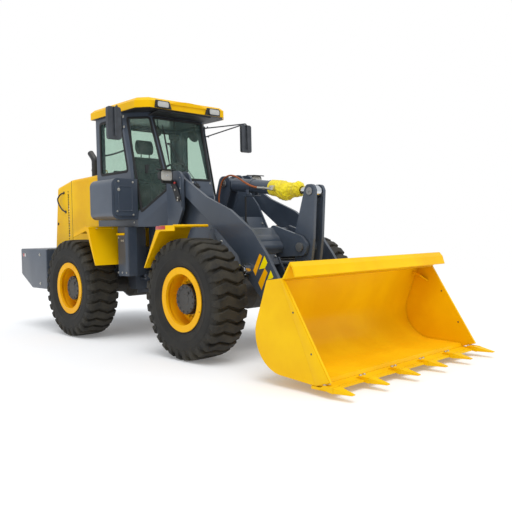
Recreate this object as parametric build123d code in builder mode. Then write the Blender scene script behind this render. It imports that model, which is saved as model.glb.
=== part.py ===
"""Articulated wheel loader with a Z-bar bucket linkage, in millimetres.

Frame: +X forward, +Y to the machine's left, +Z up, ground at Z = 0.
The origin is midway between the bucket's tooth tips and the counterweight's rear face.
Side outlines are lists of (x, z, corner radius), measured from the anchor that the call names.
"""
from build123d import *
import math
import os

os.makedirs("parts", exist_ok=True)

# ---------------------------------------------------------------- driving sizes
FRONT = 920                      # x of the front axle
WHEELBASE = 2600
REAR = FRONT - WHEELBASE         # x of the rear axle
PIVOT = FRONT - WHEELBASE / 2    # x of the articulation pin
TRACK = 1850
TYRE_RADIUS = 674
TYRE_WIDTH = 445
LUG_DEPTH = 34
RIM_RADIUS = 328                 # bead seat
RIM_FLANGE = 356
RIM_WIDTH = 384
SPINDLE_RADIUS = 100
FIT = 0.05                       # radial clearance of a pin or a spindle in its bore
SEAT = 0.3                       # gap between pieces that lie on each other

# pins of the lift and tilt linkage, at rest
BOOM_PIVOT = (FRONT - 800, 2020)
BUCKET_PIN = (FRONT + 1180, 360)
CRANK_PIN = (FRONT + 880, 1224)
CRANK_TOP = (FRONT + 985, 1830)
CRANK_FOOT = (FRONT + 809, 600)
LINK_PIN = (FRONT + 1245, 560)
TILT_REAR = (FRONT - 430, 2010)
LIFT_REAR = (FRONT - 950, 960)
LIFT_FRONT = (FRONT + 487, 989)
BULKHEAD = 620                   # rear frame's front bulkhead, ahead of the rear axle
FRONT_BULKHEAD = -1020           # front frame's rear bulkhead, from the front axle
STEER_REAR = (REAR + BULKHEAD + 80, 300)     # x, y of a steering cylinder's rear pin
STEER_FRONT = (FRONT + FRONT_BULKHEAD - 100, 330)
STEER_HEIGHT = 830

ARM_INNER = 510                  # y of a boom arm's inner face
ARM_THICK = 40
FRAME_PLATE = 25
TOWER_INNER = 435                # y of a tower's inner plate
TOWER_OUTER = 565
CRANK_INNER = 52
CRANK_THICK = 38
BRACKET_INNER = 100              # boom bracket plates outside the crank
BRACKET_THICK = 38
EYE_HALF = 45                    # half width of an eye between the crank plates
PIN_RADIUS = 38

BUCKET_HALF = 1241
BUCKET_SIDE = 25
BUCKET_SHELL = 20
TEETH = 6
TOOTH_REACH = 2420               # tooth tips ahead of the front axle
TOOTH_LENGTH = 215               # tooth tips ahead of the cutting edge

REAR_FRAME_HALF = 425
REAR_FACE = -1660                # counterweight's rear face, from the rear axle
CAB_HALF = 700
CAB_WALL = 50
CAB_FLOOR = 1500
CAB_HEADER = 3030
CAB_REAR = 130                   # cab's rear wall, from the rear axle
HOOD_HALF = 620
HOOD_SKIN = 12
FENDER_SKIN = 12
TYRE_GAP = 25                    # between a tyre and its fender at the nearest
FENDER_TOP = TYRE_RADIUS + 816
DOOR_GAP = 6


# ---------------------------------------------------------------- helpers
def outline(plane, corners):
    """Return a face on the plane from corners (x, y, radius)."""
    with BuildSketch(plane) as shape:
        with BuildLine():
            Polyline(*[(x, y) for x, y, radius in corners], close=True)
        make_face()
        for x, y, radius in corners:
            if radius:
                corner = shape.vertices().sort_by_distance((x, y, 0))[0]
                fillet(corner, radius)
    return shape.sketch


def shifted(corners, anchor):
    """Move corners (x, z, radius) from an anchor to the machine's frame."""
    return [(anchor[0] + x, anchor[1] + z, radius) for x, z, radius in corners]


def slab(corners, y_low, y_high, anchor=(0, 0), mode=Mode.ADD):
    """Extrude a side outline between two values of y, in the current part."""
    face = outline(Plane.XZ.offset(-y_high), shifted(corners, anchor))
    extrude(face, amount=y_high - y_low, mode=mode)


def box(x, y, z, mode=Mode.ADD):
    """Add a box between three pairs of limits to the current part."""
    with Locations(((x[0] + x[1]) / 2, (y[0] + y[1]) / 2, (z[0] + z[1]) / 2)):
        Box(x[1] - x[0], y[1] - y[0], z[1] - z[0], mode=mode)


def round_y(at, radius, y_low, y_high, mode=Mode.ADD):
    """Add a cylinder along Y between two values of y, centred at (x, z)."""
    with Locations(Location((at[0], (y_low + y_high) / 2, at[1]), (90, 0, 0))):
        Cylinder(radius, y_high - y_low, mode=mode)


def round_z(at, radius, z_low, z_high, mode=Mode.ADD):
    """Add a cylinder along Z between two heights, centred at (x, y)."""
    with Locations((at[0], at[1], (z_low + z_high) / 2)):
        Cylinder(radius, z_high - z_low, mode=mode)


def along(start, end):
    """Return (length, angle in degrees, unit vector) from one (x, z) to another."""
    dx, dz = end[0] - start[0], end[1] - start[1]
    length = math.hypot(dx, dz)
    return length, math.degrees(math.atan2(dz, dx)), (dx / length, dz / length)


def point_on(start, unit, distance):
    """Return the (x, z) at a distance along a unit vector."""
    return start[0] + unit[0] * distance, start[1] + unit[1] * distance


def tube(start, unit, y, radius, first, last, mode=Mode.ADD):
    """Add a cylinder along a line in a side plane, between two distances on it."""
    base = point_on(start, unit, first)
    plane = Plane(origin=(base[0], y, base[1]), x_dir=(0, 1, 0), z_dir=(unit[0], 0, unit[1]))
    with BuildSketch(plane) as ring:
        Circle(radius)
    extrude(ring.sketch, amount=last - first, mode=mode)


def save(part, label):
    """Name a finished part and write it as STEP."""
    part.label = label
    export_step(part, f"parts/{label}.step")


# ---------------------------------------------------------------- wheels
TYRE_BELT = 560                  # radius where the sidewall turns into the shoulder
LUGS = 24                        # in each half of the tread
LUG_SHARE = 0.6                  # a lug's length over its pitch
TREAD_FLOOR = TYRE_RADIUS - LUG_DEPTH


def lug_face(plane, radius, turn):
    """Return a toothed face, one tooth a lug, turned by a share of the pitch."""
    pitch = 2 * math.pi / LUGS
    corners = []
    for index in range(LUGS):
        first = (index + turn) * pitch
        last = first + LUG_SHARE * pitch
        floor = radius - LUG_DEPTH
        corners += [(angle, height) for angle, height in
                    ((first, floor), (first, radius), (last, radius), (last, floor))]
    return outline(plane, [(height * math.cos(angle), height * math.sin(angle), 0) for angle, height in corners])


def tread_half(axle_x, middle, side, turn):
    """Return one half of a tread, swept from the tyre's middle out to the shoulder as a ruled loft."""
    sections = []
    # (distance from the tyre's middle, lug radius, turn as a share of the pitch)
    for away, radius, twist in ((0, TYRE_RADIUS, 0), (half - 42, TYRE_RADIUS, 0.45), (half - 12, TYRE_RADIUS - 34, 0.45)):
        plane = Plane(origin=(axle_x, middle + side * away, TYRE_RADIUS), x_dir=(1, 0, 0), z_dir=(0, -1, 0))
        sections.append(lug_face(plane, radius, turn + twist))
    bore = Pos(axle_x, middle, TYRE_RADIUS) * Cylinder(TYRE_BELT, 2 * TYRE_WIDTH, rotation=(90, 0, 0))
    return loft(sections, ruled=True) - bore


half = TYRE_WIDTH / 2
seat_half = RIM_WIDTH / 2 - 14
centre = TRACK / 2
for axle_name, axle_x in (("front", FRONT), ("rear", REAR)):
    for side_name, side in (("left", 1), ("right", -1)):
        axle = Axis((axle_x, 0, TYRE_RADIUS), (0, 1, 0))
        section = Plane(origin=(axle_x, 0, TYRE_RADIUS), x_dir=(0, side, 0), z_dir=(side, 0, 0))
        inner, outer = centre - half, centre + half
        # (distance from the middle plane, radius, corner radius)
        tyre_corners = [
            (centre - seat_half, RIM_RADIUS + SEAT, 0),
            (centre + seat_half, RIM_RADIUS + SEAT, 0),
            (centre + seat_half, RIM_FLANGE + 12, 0),
            (outer, 455, 40),
            (outer, TYRE_BELT, 0),
            (outer - 14, TREAD_FLOOR - 46, 0),
            (inner + 14, TREAD_FLOOR - 46, 0),
            (inner, TYRE_BELT, 0),
            (inner, 455, 40),
            (centre - seat_half, RIM_FLANGE + 12, 0),
        ]
        treads = [tread_half(axle_x, side * centre, way, turn) for way, turn in ((1, 0), (-1, 0.5))]
        with BuildPart() as tyre:
            revolve(outline(section, tyre_corners), axis=axle)
            for tread in treads:
                add(tread)
        save(tyre.part, f"tyre_{axle_name}_{side_name}")

        lip = RIM_WIDTH / 2
        rim_corners = [
            (centre - lip, RIM_RADIUS - 26, 0),
            (centre - lip, RIM_FLANGE, 0),
            (centre - lip + 12, RIM_FLANGE, 0),
            (centre - lip + 12, RIM_RADIUS, 0),
            (centre + lip - 12, RIM_RADIUS, 0),
            (centre + lip - 12, RIM_FLANGE, 0),
            (centre + lip, RIM_FLANGE, 0),
            (centre + lip, RIM_RADIUS - 46, 0),
            (centre + lip - 30, RIM_RADIUS - 50, 0),
            (centre + lip - 70, RIM_RADIUS - 26, 0),
            (centre - 10, RIM_RADIUS - 26, 0),
            (centre - 10, 250, 0),
            (centre + 40, 240, 0),
            (centre + 40, 170, 0),
            (centre + 110, 165, 0),
            (centre + 125, 150, 0),
            (centre + 125, 0, 0),
            (centre - 60, 0, 0),
            (centre - 60, SPINDLE_RADIUS + FIT, 0),
            (centre - 110, SPINDLE_RADIUS + FIT, 0),
            (centre - 110, 170, 0),
            (centre - 40, 180, 0),
            (centre - 40, RIM_RADIUS - 26, 0),
        ]
        with BuildPart() as rim:
            revolve(outline(section, rim_corners), axis=axle)
        save(rim.part, f"rim_{axle_name}_{side_name}")


# ---------------------------------------------------------------- axles
AXLE_BULB = 190
AXLE_TUBE = 95
PAD_HALF = 60
FRAME_BOTTOM = 600               # underside of the front frame
TRUNNION_RADIUS = 80
CRADLE_OFFSET = 230              # cradle plates ahead of and behind the rear axle
spindle_end = TRACK / 2 - 62
hub_face = TRACK / 2 - 115
# (distance from the middle plane, radius) of half an axle housing
housing = [(0, AXLE_BULB), (150, AXLE_BULB), (240, AXLE_TUBE + 20), (480, AXLE_TUBE), (640, AXLE_TUBE + 20),
           (hub_face - 60, 150), (hub_face, 150), (hub_face, SPINDLE_RADIUS), (spindle_end, SPINDLE_RADIUS)]
mirrored = [(-y, radius) for y, radius in reversed(housing)]
housing_face = [(y, radius, 0) for y, radius in mirrored[:-1] + housing]
housing_face = [(-spindle_end, 0, 0)] + housing_face + [(spindle_end, 0, 0)]
for axle_name, axle_x in (("front", FRONT), ("rear", REAR)):
    axle = Axis((axle_x, 0, TYRE_RADIUS), (0, 1, 0))
    section = Plane(origin=(axle_x, 0, TYRE_RADIUS), x_dir=(0, 1, 0), z_dir=(1, 0, 0))
    with BuildPart() as housing_part:
        revolve(outline(section, housing_face), axis=axle)
        inward = 1 if axle_name == "rear" else -1
        nose = Plane(origin=(axle_x, 0, TYRE_RADIUS), x_dir=(0, 1, 0), z_dir=(inward, 0, 0))
        if axle_name == "front":
            with BuildSketch(nose) as neck:
                Circle(TRUNNION_RADIUS)
            extrude(neck.sketch, amount=AXLE_BULB + 130)
            for y in (-TOWER_INNER - FRAME_PLATE / 2, TOWER_INNER + FRAME_PLATE / 2):
                box((axle_x - 90, axle_x + 90), (y - PAD_HALF, y + PAD_HALF),
                    (TYRE_RADIUS, TYRE_RADIUS + AXLE_TUBE + 25))
        else:
            with BuildSketch(nose.offset(-CRADLE_OFFSET - 40)) as trunnion:
                Circle(TRUNNION_RADIUS)
            extrude(trunnion.sketch, amount=2 * CRADLE_OFFSET + 110)
    save(housing_part.part, f"{axle_name}_axle")


# ---------------------------------------------------------------- rear frame
RAIL_TOP = 1220
RAIL_LOW = 640
SPINE_HALF = 170
SPINE_END = WHEELBASE / 2 - 200  # from the rear axle
PIVOT_BORE = 45
LUG_UPPER = (1075, 1125)         # heights of the front frame's upper lug
LUG_LOWER = (645, 695)
LUG_RADIUS = 110
FORK_RADIUS = 130
FORK_THICK = 40
LUG_GAP = 5
rail_corners = [
    (BULKHEAD, RAIL_LOW, 0), (BULKHEAD, RAIL_TOP, 0), (-1450, RAIL_TOP, 0), (-1450, 760, 0),
    (-620, 760, 60), (-430, 900, 60), (380, 900, 60), (470, RAIL_LOW, 60),
]
pivot_at = (PIVOT, 0)
with BuildPart() as rear_frame:
    slab(rail_corners, REAR_FRAME_HALF - FRAME_PLATE, REAR_FRAME_HALF, (REAR, 0))
    mirror(about=Plane.XZ)
    inside = REAR_FRAME_HALF - FRAME_PLATE
    box((REAR + BULKHEAD - FRAME_PLATE, REAR + BULKHEAD), (-inside, inside), (RAIL_LOW, RAIL_TOP))
    box((REAR - 1450, REAR - 1450 + FRAME_PLATE), (-inside, inside), (760, RAIL_TOP))
    for x in (REAR - CRADLE_OFFSET, REAR + CRADLE_OFFSET):
        box((x - FRAME_PLATE / 2, x + FRAME_PLATE / 2), (-inside, inside), (905, RAIL_TOP - 60))
        box((x - FRAME_PLATE / 2, x + FRAME_PLATE / 2), (-150, 150), (TYRE_RADIUS - 130, 906))
    trunnion_plane = Plane(origin=(REAR - CRADLE_OFFSET - 40, 0, TYRE_RADIUS), x_dir=(0, 1, 0), z_dir=(1, 0, 0))
    with BuildSketch(trunnion_plane) as trunnion_bore:
        Circle(TRUNNION_RADIUS + FIT)
    extrude(trunnion_bore.sketch, amount=2 * CRADLE_OFFSET + 110, mode=Mode.SUBTRACT)
    # spine between the bulkhead and the forks
    spine_start = REAR + BULKHEAD
    spine_stop = REAR + SPINE_END
    for y in (-SPINE_HALF, SPINE_HALF - FRAME_PLATE):
        box((spine_start, spine_stop), (y, y + FRAME_PLATE), (LUG_LOWER[0] - 45, LUG_UPPER[1] + 45))
    box((spine_stop - FRAME_PLATE, spine_stop), (-SPINE_HALF, SPINE_HALF), (LUG_LOWER[0] - 45, LUG_UPPER[1] + 45))
    for low, high in (LUG_UPPER, LUG_LOWER):
        for z in (low - LUG_GAP - FORK_THICK, high + LUG_GAP):
            fork_corners = [(spine_stop - 60, -SPINE_HALF, 0), (spine_stop, -SPINE_HALF, 0),
                            (PIVOT, -FORK_RADIUS, 0), (PIVOT, FORK_RADIUS, 0),
                            (spine_stop, SPINE_HALF, 0), (spine_stop - 60, SPINE_HALF, 0)]
            extrude(outline(Plane.XY.offset(z), fork_corners), amount=FORK_THICK)
            round_z(pivot_at, FORK_RADIUS, z, z + FORK_THICK)
            round_z(pivot_at, PIVOT_BORE + FIT, z, z + FORK_THICK, Mode.SUBTRACT)
    # lugs and pins of the steering cylinders
    for side in (1, -1):
        pin_at = (STEER_REAR[0], side * STEER_REAR[1])
        for z in (STEER_HEIGHT - 55, STEER_HEIGHT + 30):
            box((spine_start, pin_at[0]), (pin_at[1] - 50, pin_at[1] + 50), (z, z + 25))
            round_z(pin_at, 50, z, z + 25)
        round_z(pin_at, 20, STEER_HEIGHT - 55, STEER_HEIGHT + 55)
save(rear_frame.part, "rear_frame")

with BuildPart() as pivot_pins:
    for low, high in (LUG_UPPER, LUG_LOWER):
        round_z(pivot_at, PIVOT_BORE, low - LUG_GAP - FORK_THICK - 20, high + LUG_GAP + FORK_THICK + 20)
        round_z(pivot_at, PIVOT_BORE + 15, high + LUG_GAP + FORK_THICK, high + LUG_GAP + FORK_THICK + 20)
save(pivot_pins.part, "pivot_pins")

ENGINE_LENGTH = 820
ENGINE_HALF = 330
ENGINE_REAR = -1250              # from the rear axle
with BuildPart() as engine:
    box((REAR + ENGINE_REAR, REAR + ENGINE_REAR + ENGINE_LENGTH), (-ENGINE_HALF, ENGINE_HALF),
        (RAIL_TOP, RAIL_TOP + 740))
    for side in (1, -1):
        ends = sorted((side * (ENGINE_HALF - 20), side * (inside - SEAT)))
        box((REAR + ENGINE_REAR + 200, REAR + ENGINE_REAR + 400), ends, (RAIL_TOP - 60, RAIL_TOP + 60))
save(engine.part, "engine_block")


# ---------------------------------------------------------------- front frame
NOSE_TOP = 1240
TOWER_RADIUS = 150
TOWER_BACK = -140                # rear edge of the towers, from the boom pivot
BOSS_RADIUS = 75
LIFT_Y = 610                     # middle plane of a lift cylinder
tower_x, tower_z = BOOM_PIVOT[0] - FRONT, BOOM_PIVOT[1]
inner_plate = [
    (FRONT_BULKHEAD, FRAME_BOTTOM, 0), (180, FRAME_BOTTOM, 80), (130, 800, 0), (20, 1000, 60), (-110, NOSE_TOP, 0),
    (-220, 1460, 0), (-380, 1750, 60), (tower_x + 165, tower_z + 20, 60), (tower_x + 120, tower_z + TOWER_RADIUS, 110),
    (tower_x + TOWER_BACK, tower_z + TOWER_RADIUS, 110), (tower_x + TOWER_BACK, NOSE_TOP, 100),
    (FRONT_BULKHEAD, NOSE_TOP - 60, 60),
]
outer_plate = [
    (TOWER_BACK, 1140 - BOOM_PIVOT[1], 0), (180, 1690 - BOOM_PIVOT[1], 0), (180, TOWER_RADIUS, 110),
    (TOWER_BACK, TOWER_RADIUS, 110),
]
tower_outer_face = TOWER_OUTER + 35
with BuildPart() as front_frame:
    slab(inner_plate, TOWER_INNER, TOWER_INNER + FRAME_PLATE, (FRONT, 0))
    slab(outer_plate, TOWER_OUTER, tower_outer_face, BOOM_PIVOT)
    web_x = BOOM_PIVOT[0] + TOWER_BACK
    box((web_x, web_x + 15), (TOWER_INNER + FRAME_PLATE, TOWER_OUTER), (1140, BOOM_PIVOT[1] + 40))
    # boom pivot pin, fixed in both plates
    round_y(BOOM_PIVOT, PIN_RADIUS, TOWER_INNER - 15, tower_outer_face + 18)
    round_y(BOOM_PIVOT, PIN_RADIUS + 22, tower_outer_face, tower_outer_face + 12)
    # stub that carries the lift cylinder
    round_y(LIFT_REAR, BOSS_RADIUS, TOWER_INNER + FRAME_PLATE, LIFT_Y - 55)
    round_y(LIFT_REAR, 50, LIFT_Y - 55, LIFT_Y - 31)
    round_y(LIFT_REAR, PIN_RADIUS, LIFT_Y - 35, LIFT_Y + 52)
    mirror(about=Plane.XZ)
    inside = TOWER_INNER
    bulk_x = FRONT + FRONT_BULKHEAD
    box((bulk_x, bulk_x + FRAME_PLATE), (-inside, inside), (FRAME_BOTTOM, NOSE_TOP - 70))
    box((bulk_x, FRONT + 150), (-inside, inside), (FRAME_BOTTOM, FRAME_BOTTOM + 20))
    box((FRONT - 420, FRONT - 395), (-inside, inside), (FRAME_BOTTOM + 20, 1500))
    box((web_x, web_x + FRAME_PLATE), (-inside, inside), (NOSE_TOP - 90, 1470))
    # middle plates that carry the tilt cylinder
    tilt_plate = [
        (-150, -60, 0), (-95, 95, 90), (95, 95, 90), (95, -60, 60), (-20, -330, 0), (-60, -520, 0), (-330, -520, 0),
    ]
    for y in (-EYE_HALF - 35, EYE_HALF + 10):
        slab(tilt_plate, y, y + 25, TILT_REAR)
    round_y(TILT_REAR, PIN_RADIUS, -EYE_HALF - 55, EYE_HALF + 55)
    for side in (1, -1):
        gusset = outline(Plane.YZ.offset(web_x + FRAME_PLATE), [(side * (EYE_HALF + 35), TILT_REAR[1] - 330, 0),
                                                              (side * (inside), TILT_REAR[1] - 520, 0),
                                                              (side * (EYE_HALF + 35), TILT_REAR[1] - 520, 0)])
        extrude(gusset, amount=16)
    shelf_z = TILT_REAR[1] - 520
    box((web_x, TILT_REAR[0] + 110), (-inside, inside), (shelf_z - 20, shelf_z))
    # articulation lugs, reaching back from the bulkhead
    for low, high in (LUG_UPPER, LUG_LOWER):
        lug_corners = [(bulk_x, -220, 0), (PIVOT, -LUG_RADIUS, 0), (PIVOT, LUG_RADIUS, 0), (bulk_x, 220, 0)]
        extrude(outline(Plane.XY.offset(low), lug_corners), amount=high - low)
        round_z(pivot_at, LUG_RADIUS, low, high)
        round_z(pivot_at, PIVOT_BORE + FIT, low, high, Mode.SUBTRACT)
    for side in (1, -1):
        pin_at = (STEER_FRONT[0], side * STEER_FRONT[1])
        for z in (STEER_HEIGHT - 55, STEER_HEIGHT + 30):
            box((pin_at[0], bulk_x), (pin_at[1] - 45, pin_at[1] + 45), (z, z + 25))
            round_z(pin_at, 45, z, z + 25)
    for side in (1, -1):
        pad_y = side * (TOWER_INNER + FRAME_PLATE / 2)
        box((FRONT - 90, FRONT + 90), (pad_y - PAD_HALF, pad_y + PAD_HALF),
            (TYRE_RADIUS - 80, TYRE_RADIUS + AXLE_TUBE + 25), Mode.SUBTRACT)
    axle_room = Plane(origin=(FRONT, -inside - FRAME_PLATE, TYRE_RADIUS), x_dir=(1, 0, 0), z_dir=(0, 1, 0))
    with BuildSketch(axle_room) as notch:
        Circle(AXLE_TUBE + 30)
    extrude(notch.sketch, amount=2 * (inside + FRAME_PLATE), mode=Mode.SUBTRACT)
    box((FRONT - 340, FRONT + 180), (-AXLE_BULB - 70, AXLE_BULB + 70), (FRAME_BOTTOM, FRAME_BOTTOM + 20), Mode.SUBTRACT)
    box((FRONT - 420, FRONT - 395), (-110, 110), (FRAME_BOTTOM, 790), Mode.SUBTRACT)
save(front_frame.part, "front_frame")

# sloped cover between the towers, closing the nose
nose_line = [(20, 1000), (-110, NOSE_TOP), (-220, 1460), (-300, 1600)]
with BuildPart() as nose_cover:
    nose_corners = [(x - 14, z - 6, 0) for x, z in nose_line] + [(x - 30, z - 14, 0) for x, z in reversed(nose_line)]
    slab(nose_corners, -inside + SEAT, inside - SEAT, (FRONT, 0))
save(nose_cover.part, "nose_cover")

# ---------------------------------------------------------------- fenders
FENDER_IN = 695
FENDER_OUT = 1160
FENDER_FOOT = TYRE_RADIUS + 336  # height of the fenders' lower ends
fender_back = -math.sqrt((TYRE_RADIUS + TYRE_GAP) ** 2 - (FENDER_FOOT - TYRE_RADIUS) ** 2)
front_fender = [
    (-20, FENDER_TOP - 8, 0), (-40, FENDER_TOP, 0), (-340, FENDER_TOP, 110), (fender_back - FENDER_SKIN, FENDER_FOOT, 0),
    (fender_back, FENDER_FOOT, 0), (-340 + 8, FENDER_TOP - FENDER_SKIN, 100), (-40, FENDER_TOP - FENDER_SKIN, 0),
]
rear_fender = [
    (240, FENDER_TOP - 50, 0), (560, FENDER_TOP + 30, 0), (655, FENDER_TOP + 20, 60), (820, FENDER_FOOT, 0),
    (820 - FENDER_SKIN, FENDER_FOOT, 0), (645, FENDER_TOP + 8, 50), (560, FENDER_TOP + 30 - FENDER_SKIN, 0),
    (240, FENDER_TOP - 50 - FENDER_SKIN, 0),
]
# bracket below the lift cylinder, from the frame's plate to the fender's lower rear end
bracket_back = fender_back - FENDER_SKIN - 135
lean = (-340 - fender_back + FENDER_SKIN) / (FENDER_TOP - FENDER_FOOT)
bracket_seat = fender_back - FENDER_SKIN - SEAT
fender_bracket = [
    (bracket_back, 780, 0), (bracket_back + 60, 780, 0), (bracket_back + 60, FENDER_FOOT - 80, 0),
    (bracket_seat + 2, FENDER_FOOT + 2, 0), (bracket_seat + 92 * lean, FENDER_FOOT + 90, 0),
    (bracket_seat + 60 * lean - 60, FENDER_FOOT + 90, 0), (bracket_back, FENDER_FOOT, 0),
]
# lips along the outer edges, running out to nothing at the rear foot
LIP_DEPTH = 62
front_lip = front_fender[:4] + [(fender_back, FENDER_FOOT, 0), (-340 + 40, FENDER_TOP - LIP_DEPTH, 60),
                                (-20, FENDER_TOP - LIP_DEPTH, 0)]
rear_lip = rear_fender[:4] + [(820 - FENDER_SKIN, FENDER_FOOT, 0), (645 - 36, FENDER_TOP - LIP_DEPTH + 30, 40),
                              (560, FENDER_TOP + 30 - LIP_DEPTH, 0), (240, FENDER_TOP - 50 - LIP_DEPTH, 0)]
LIP_WIDTH = 10
EDGE_ROLL = 22                   # radius of the rounded edge bars
with BuildPart() as front_fenders:
    slab(front_fender, FENDER_IN, FENDER_OUT, (FRONT, 0))
    slab(front_lip, FENDER_OUT - 2, FENDER_OUT + LIP_WIDTH, (FRONT, 0))
    round_y((FRONT - 30, FENDER_TOP - 8), 16, FENDER_IN, FENDER_OUT + LIP_WIDTH)
    mirror(about=Plane.XZ)
    for side in (1, -1):
        slab(fender_bracket, *sorted((side * 705, side * 745)), (FRONT, 0))
        ends = sorted((side * (TOWER_INNER + FRAME_PLATE + SEAT), side * 745))
        box((FRONT + bracket_back, FRONT + bracket_back + 60), ends, (780, 840))
save(front_fenders.part, "front_fenders")
with BuildPart() as rear_fenders:
    slab(rear_fender, CAB_HALF + SEAT, FENDER_OUT - 20, (REAR, 0))
    slab(rear_lip, FENDER_OUT - 20, FENDER_OUT - 20 + LIP_WIDTH, (REAR, 0))
    round_y((REAR + 640, FENDER_TOP + 5), EDGE_ROLL, CAB_HALF + SEAT, FENDER_OUT - 20 + LIP_WIDTH)
    mirror(about=Plane.XZ)
save(rear_fenders.part, "rear_fenders")

# ---------------------------------------------------------------- boom
ARM_OUTER = ARM_INNER + ARM_THICK
knee = (LIFT_FRONT[0] - BOOM_PIVOT[0], LIFT_FRONT[1] - BOOM_PIVOT[1])
tip = (BUCKET_PIN[0] - BOOM_PIVOT[0], BUCKET_PIN[1] - BOOM_PIVOT[1])
arm_corners = [
    (60, 100, 0), (150, 55, 60), (575, -195, 90), (996, -366, 160),
    (knee[0] + 73, knee[1] + 421, 140), (knee[0] + 303, knee[1] + 143, 120), (tip[0] + 85, tip[1] + 60, 0),
    (tip[0] - 20, tip[1] - 88, 0), (tip[0] - 90, tip[1] - 20, 0), (knee[0] + 185, knee[1] - 302, 160),
    (knee[0] - 36, knee[1] - 84, 120), (knee[0] - 166, knee[1] + 153, 140), (742, -573, 200), (169, -163, 60),
    (-60, -97, 0),
]
ROOT_RADIUS = 114
TIP_RADIUS = 88
cross = (FRONT + 470, 1260)      # middle of the cross tube
CROSS_RADIUS = 120
with BuildPart() as boom:
    slab(arm_corners, ARM_INNER, ARM_OUTER, BOOM_PIVOT)
    round_y(BOOM_PIVOT, ROOT_RADIUS, TOWER_INNER + FRAME_PLATE + 5, TOWER_OUTER - 5)
    round_y(BUCKET_PIN, TIP_RADIUS, ARM_INNER - 8, ARM_OUTER + 8)
    round_y(LIFT_FRONT, BOSS_RADIUS, ARM_INNER - 4, ARM_OUTER + 4)
    mirror(about=Plane.XZ)
    round_y(cross, CROSS_RADIUS, -ARM_INNER, ARM_INNER)
    cross_face = [(FRONT + 345, 1330, 0), (FRONT + 365, 1430, 30), (FRONT + 460, 1450, 40), (FRONT + 640, 1225, 50),
                  (FRONT + 600, 1160, 0)]
    slab(cross_face, -ARM_INNER, ARM_INNER)
    bracket_corners = [
        (cross[0] - 60, cross[1] + 30, 0), (cross[0] - 45, cross[1] + 225, 50), (CRANK_PIN[0] + 20, CRANK_PIN[1] + 118, 90),
        (CRANK_PIN[0] + 105, CRANK_PIN[1] + 30, 70), (CRANK_PIN[0] + 70, CRANK_PIN[1] - 95, 80),
        (cross[0] + 60, cross[1] - 150, 40),
    ]
    for y in (-BRACKET_INNER - BRACKET_THICK, BRACKET_INNER):
        slab(bracket_corners, y, y + BRACKET_THICK)
    for at in (BOOM_PIVOT, BUCKET_PIN):
        round_y(at, PIN_RADIUS + FIT, -700, 700, Mode.SUBTRACT)
    bracket_out = BRACKET_INNER + BRACKET_THICK
    round_y(CRANK_PIN, PIN_RADIUS + FIT, -bracket_out, bracket_out, Mode.SUBTRACT)
save(boom.part, "boom")

# ---------------------------------------------------------------- bell crank and tilt link
CRANK_HALF = CRANK_INNER + CRANK_THICK
top = (CRANK_TOP[0] - CRANK_PIN[0], CRANK_TOP[1] - CRANK_PIN[1])
foot = (CRANK_FOOT[0] - CRANK_PIN[0], CRANK_FOOT[1] - CRANK_PIN[1])
crank_corners = [
    (top[0] - 75, top[1] + 20, 0), (top[0] - 50, top[1] + 75, 50), (top[0] + 50, top[1] + 75, 50),
    (top[0] + 80, top[1] + 10, 50), (150, 90, 120), (125, -90, 100), (foot[0] + 85, foot[1] + 10, 0),
    (foot[0] + 60, foot[1] - 80, 60), (foot[0] - 60, foot[1] - 80, 60), (foot[0] - 85, foot[1] + 10, 0),
    (-125, -90, 100), (-120, 150, 120),
]
crank_bracket = bracket_out + 22
with BuildPart() as bell_crank:
    slab(crank_corners, CRANK_INNER, CRANK_HALF, CRANK_PIN)
    for at in (CRANK_TOP, CRANK_FOOT):
        round_y(at, PIN_RADIUS + 8, CRANK_HALF, CRANK_HALF + 8)
    mirror(about=Plane.XZ)
    round_y(CRANK_PIN, BOSS_RADIUS + 5, -CRANK_INNER, CRANK_INNER)
    round_y(CRANK_PIN, PIN_RADIUS + FIT, -CRANK_HALF, CRANK_HALF, Mode.SUBTRACT)
save(bell_crank.part, "bell_crank")

with BuildPart() as crank_pin:
    round_y(CRANK_PIN, PIN_RADIUS, -crank_bracket, crank_bracket)
    for y in (-crank_bracket, bracket_out + 1):
        round_y(CRANK_PIN, PIN_RADIUS + 12, y, y + 21)
save(crank_pin.part, "crank_pin")

LINK_EYE = 58
LINK_HALF = 42
link_length, link_angle, link_unit = along(CRANK_FOOT, LINK_PIN)
with BuildPart() as tilt_link:
    round_y(CRANK_FOOT, LINK_EYE, -LINK_HALF, LINK_HALF)
    round_y(CRANK_FOOT, PIN_RADIUS - 3, -CRANK_INNER + 1, CRANK_INNER - 1)
    round_y(LINK_PIN, LINK_EYE, -LINK_HALF, LINK_HALF)
    bar = Plane(origin=(CRANK_FOOT[0], LINK_HALF - 6, CRANK_FOOT[1]), x_dir=(link_unit[0], 0, link_unit[1]),
                z_dir=(0, -1, 0))
    bar_corners = [(0, -44, 0), (link_length / 2, -34, 0), (link_length, -44, 0), (link_length, 44, 0),
                   (link_length / 2, 34, 0), (0, 44, 0)]
    extrude(outline(bar, bar_corners), amount=2 * LINK_HALF - 12)
    round_y(LINK_PIN, PIN_RADIUS + FIT, -LINK_HALF, LINK_HALF, Mode.SUBTRACT)
save(tilt_link.part, "tilt_link")

# ---------------------------------------------------------------- bucket
EAR_THICK = 32
EAR_GAP = 8
ear_inner = ARM_INNER - 8 - EAR_GAP
ear_outer = ARM_OUTER + 8 + EAR_GAP
LINK_EAR = LINK_HALF + 8
BACK_ARC = (484, 100, 352)       # centre and radius of the rounded back, from the bucket pin
FLOOR_DROP = 279                 # shell's underside below the bucket pin
FLOOR_REACH = FRONT + TOOTH_REACH - TOOTH_LENGTH - 155 - BUCKET_PIN[0]


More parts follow.
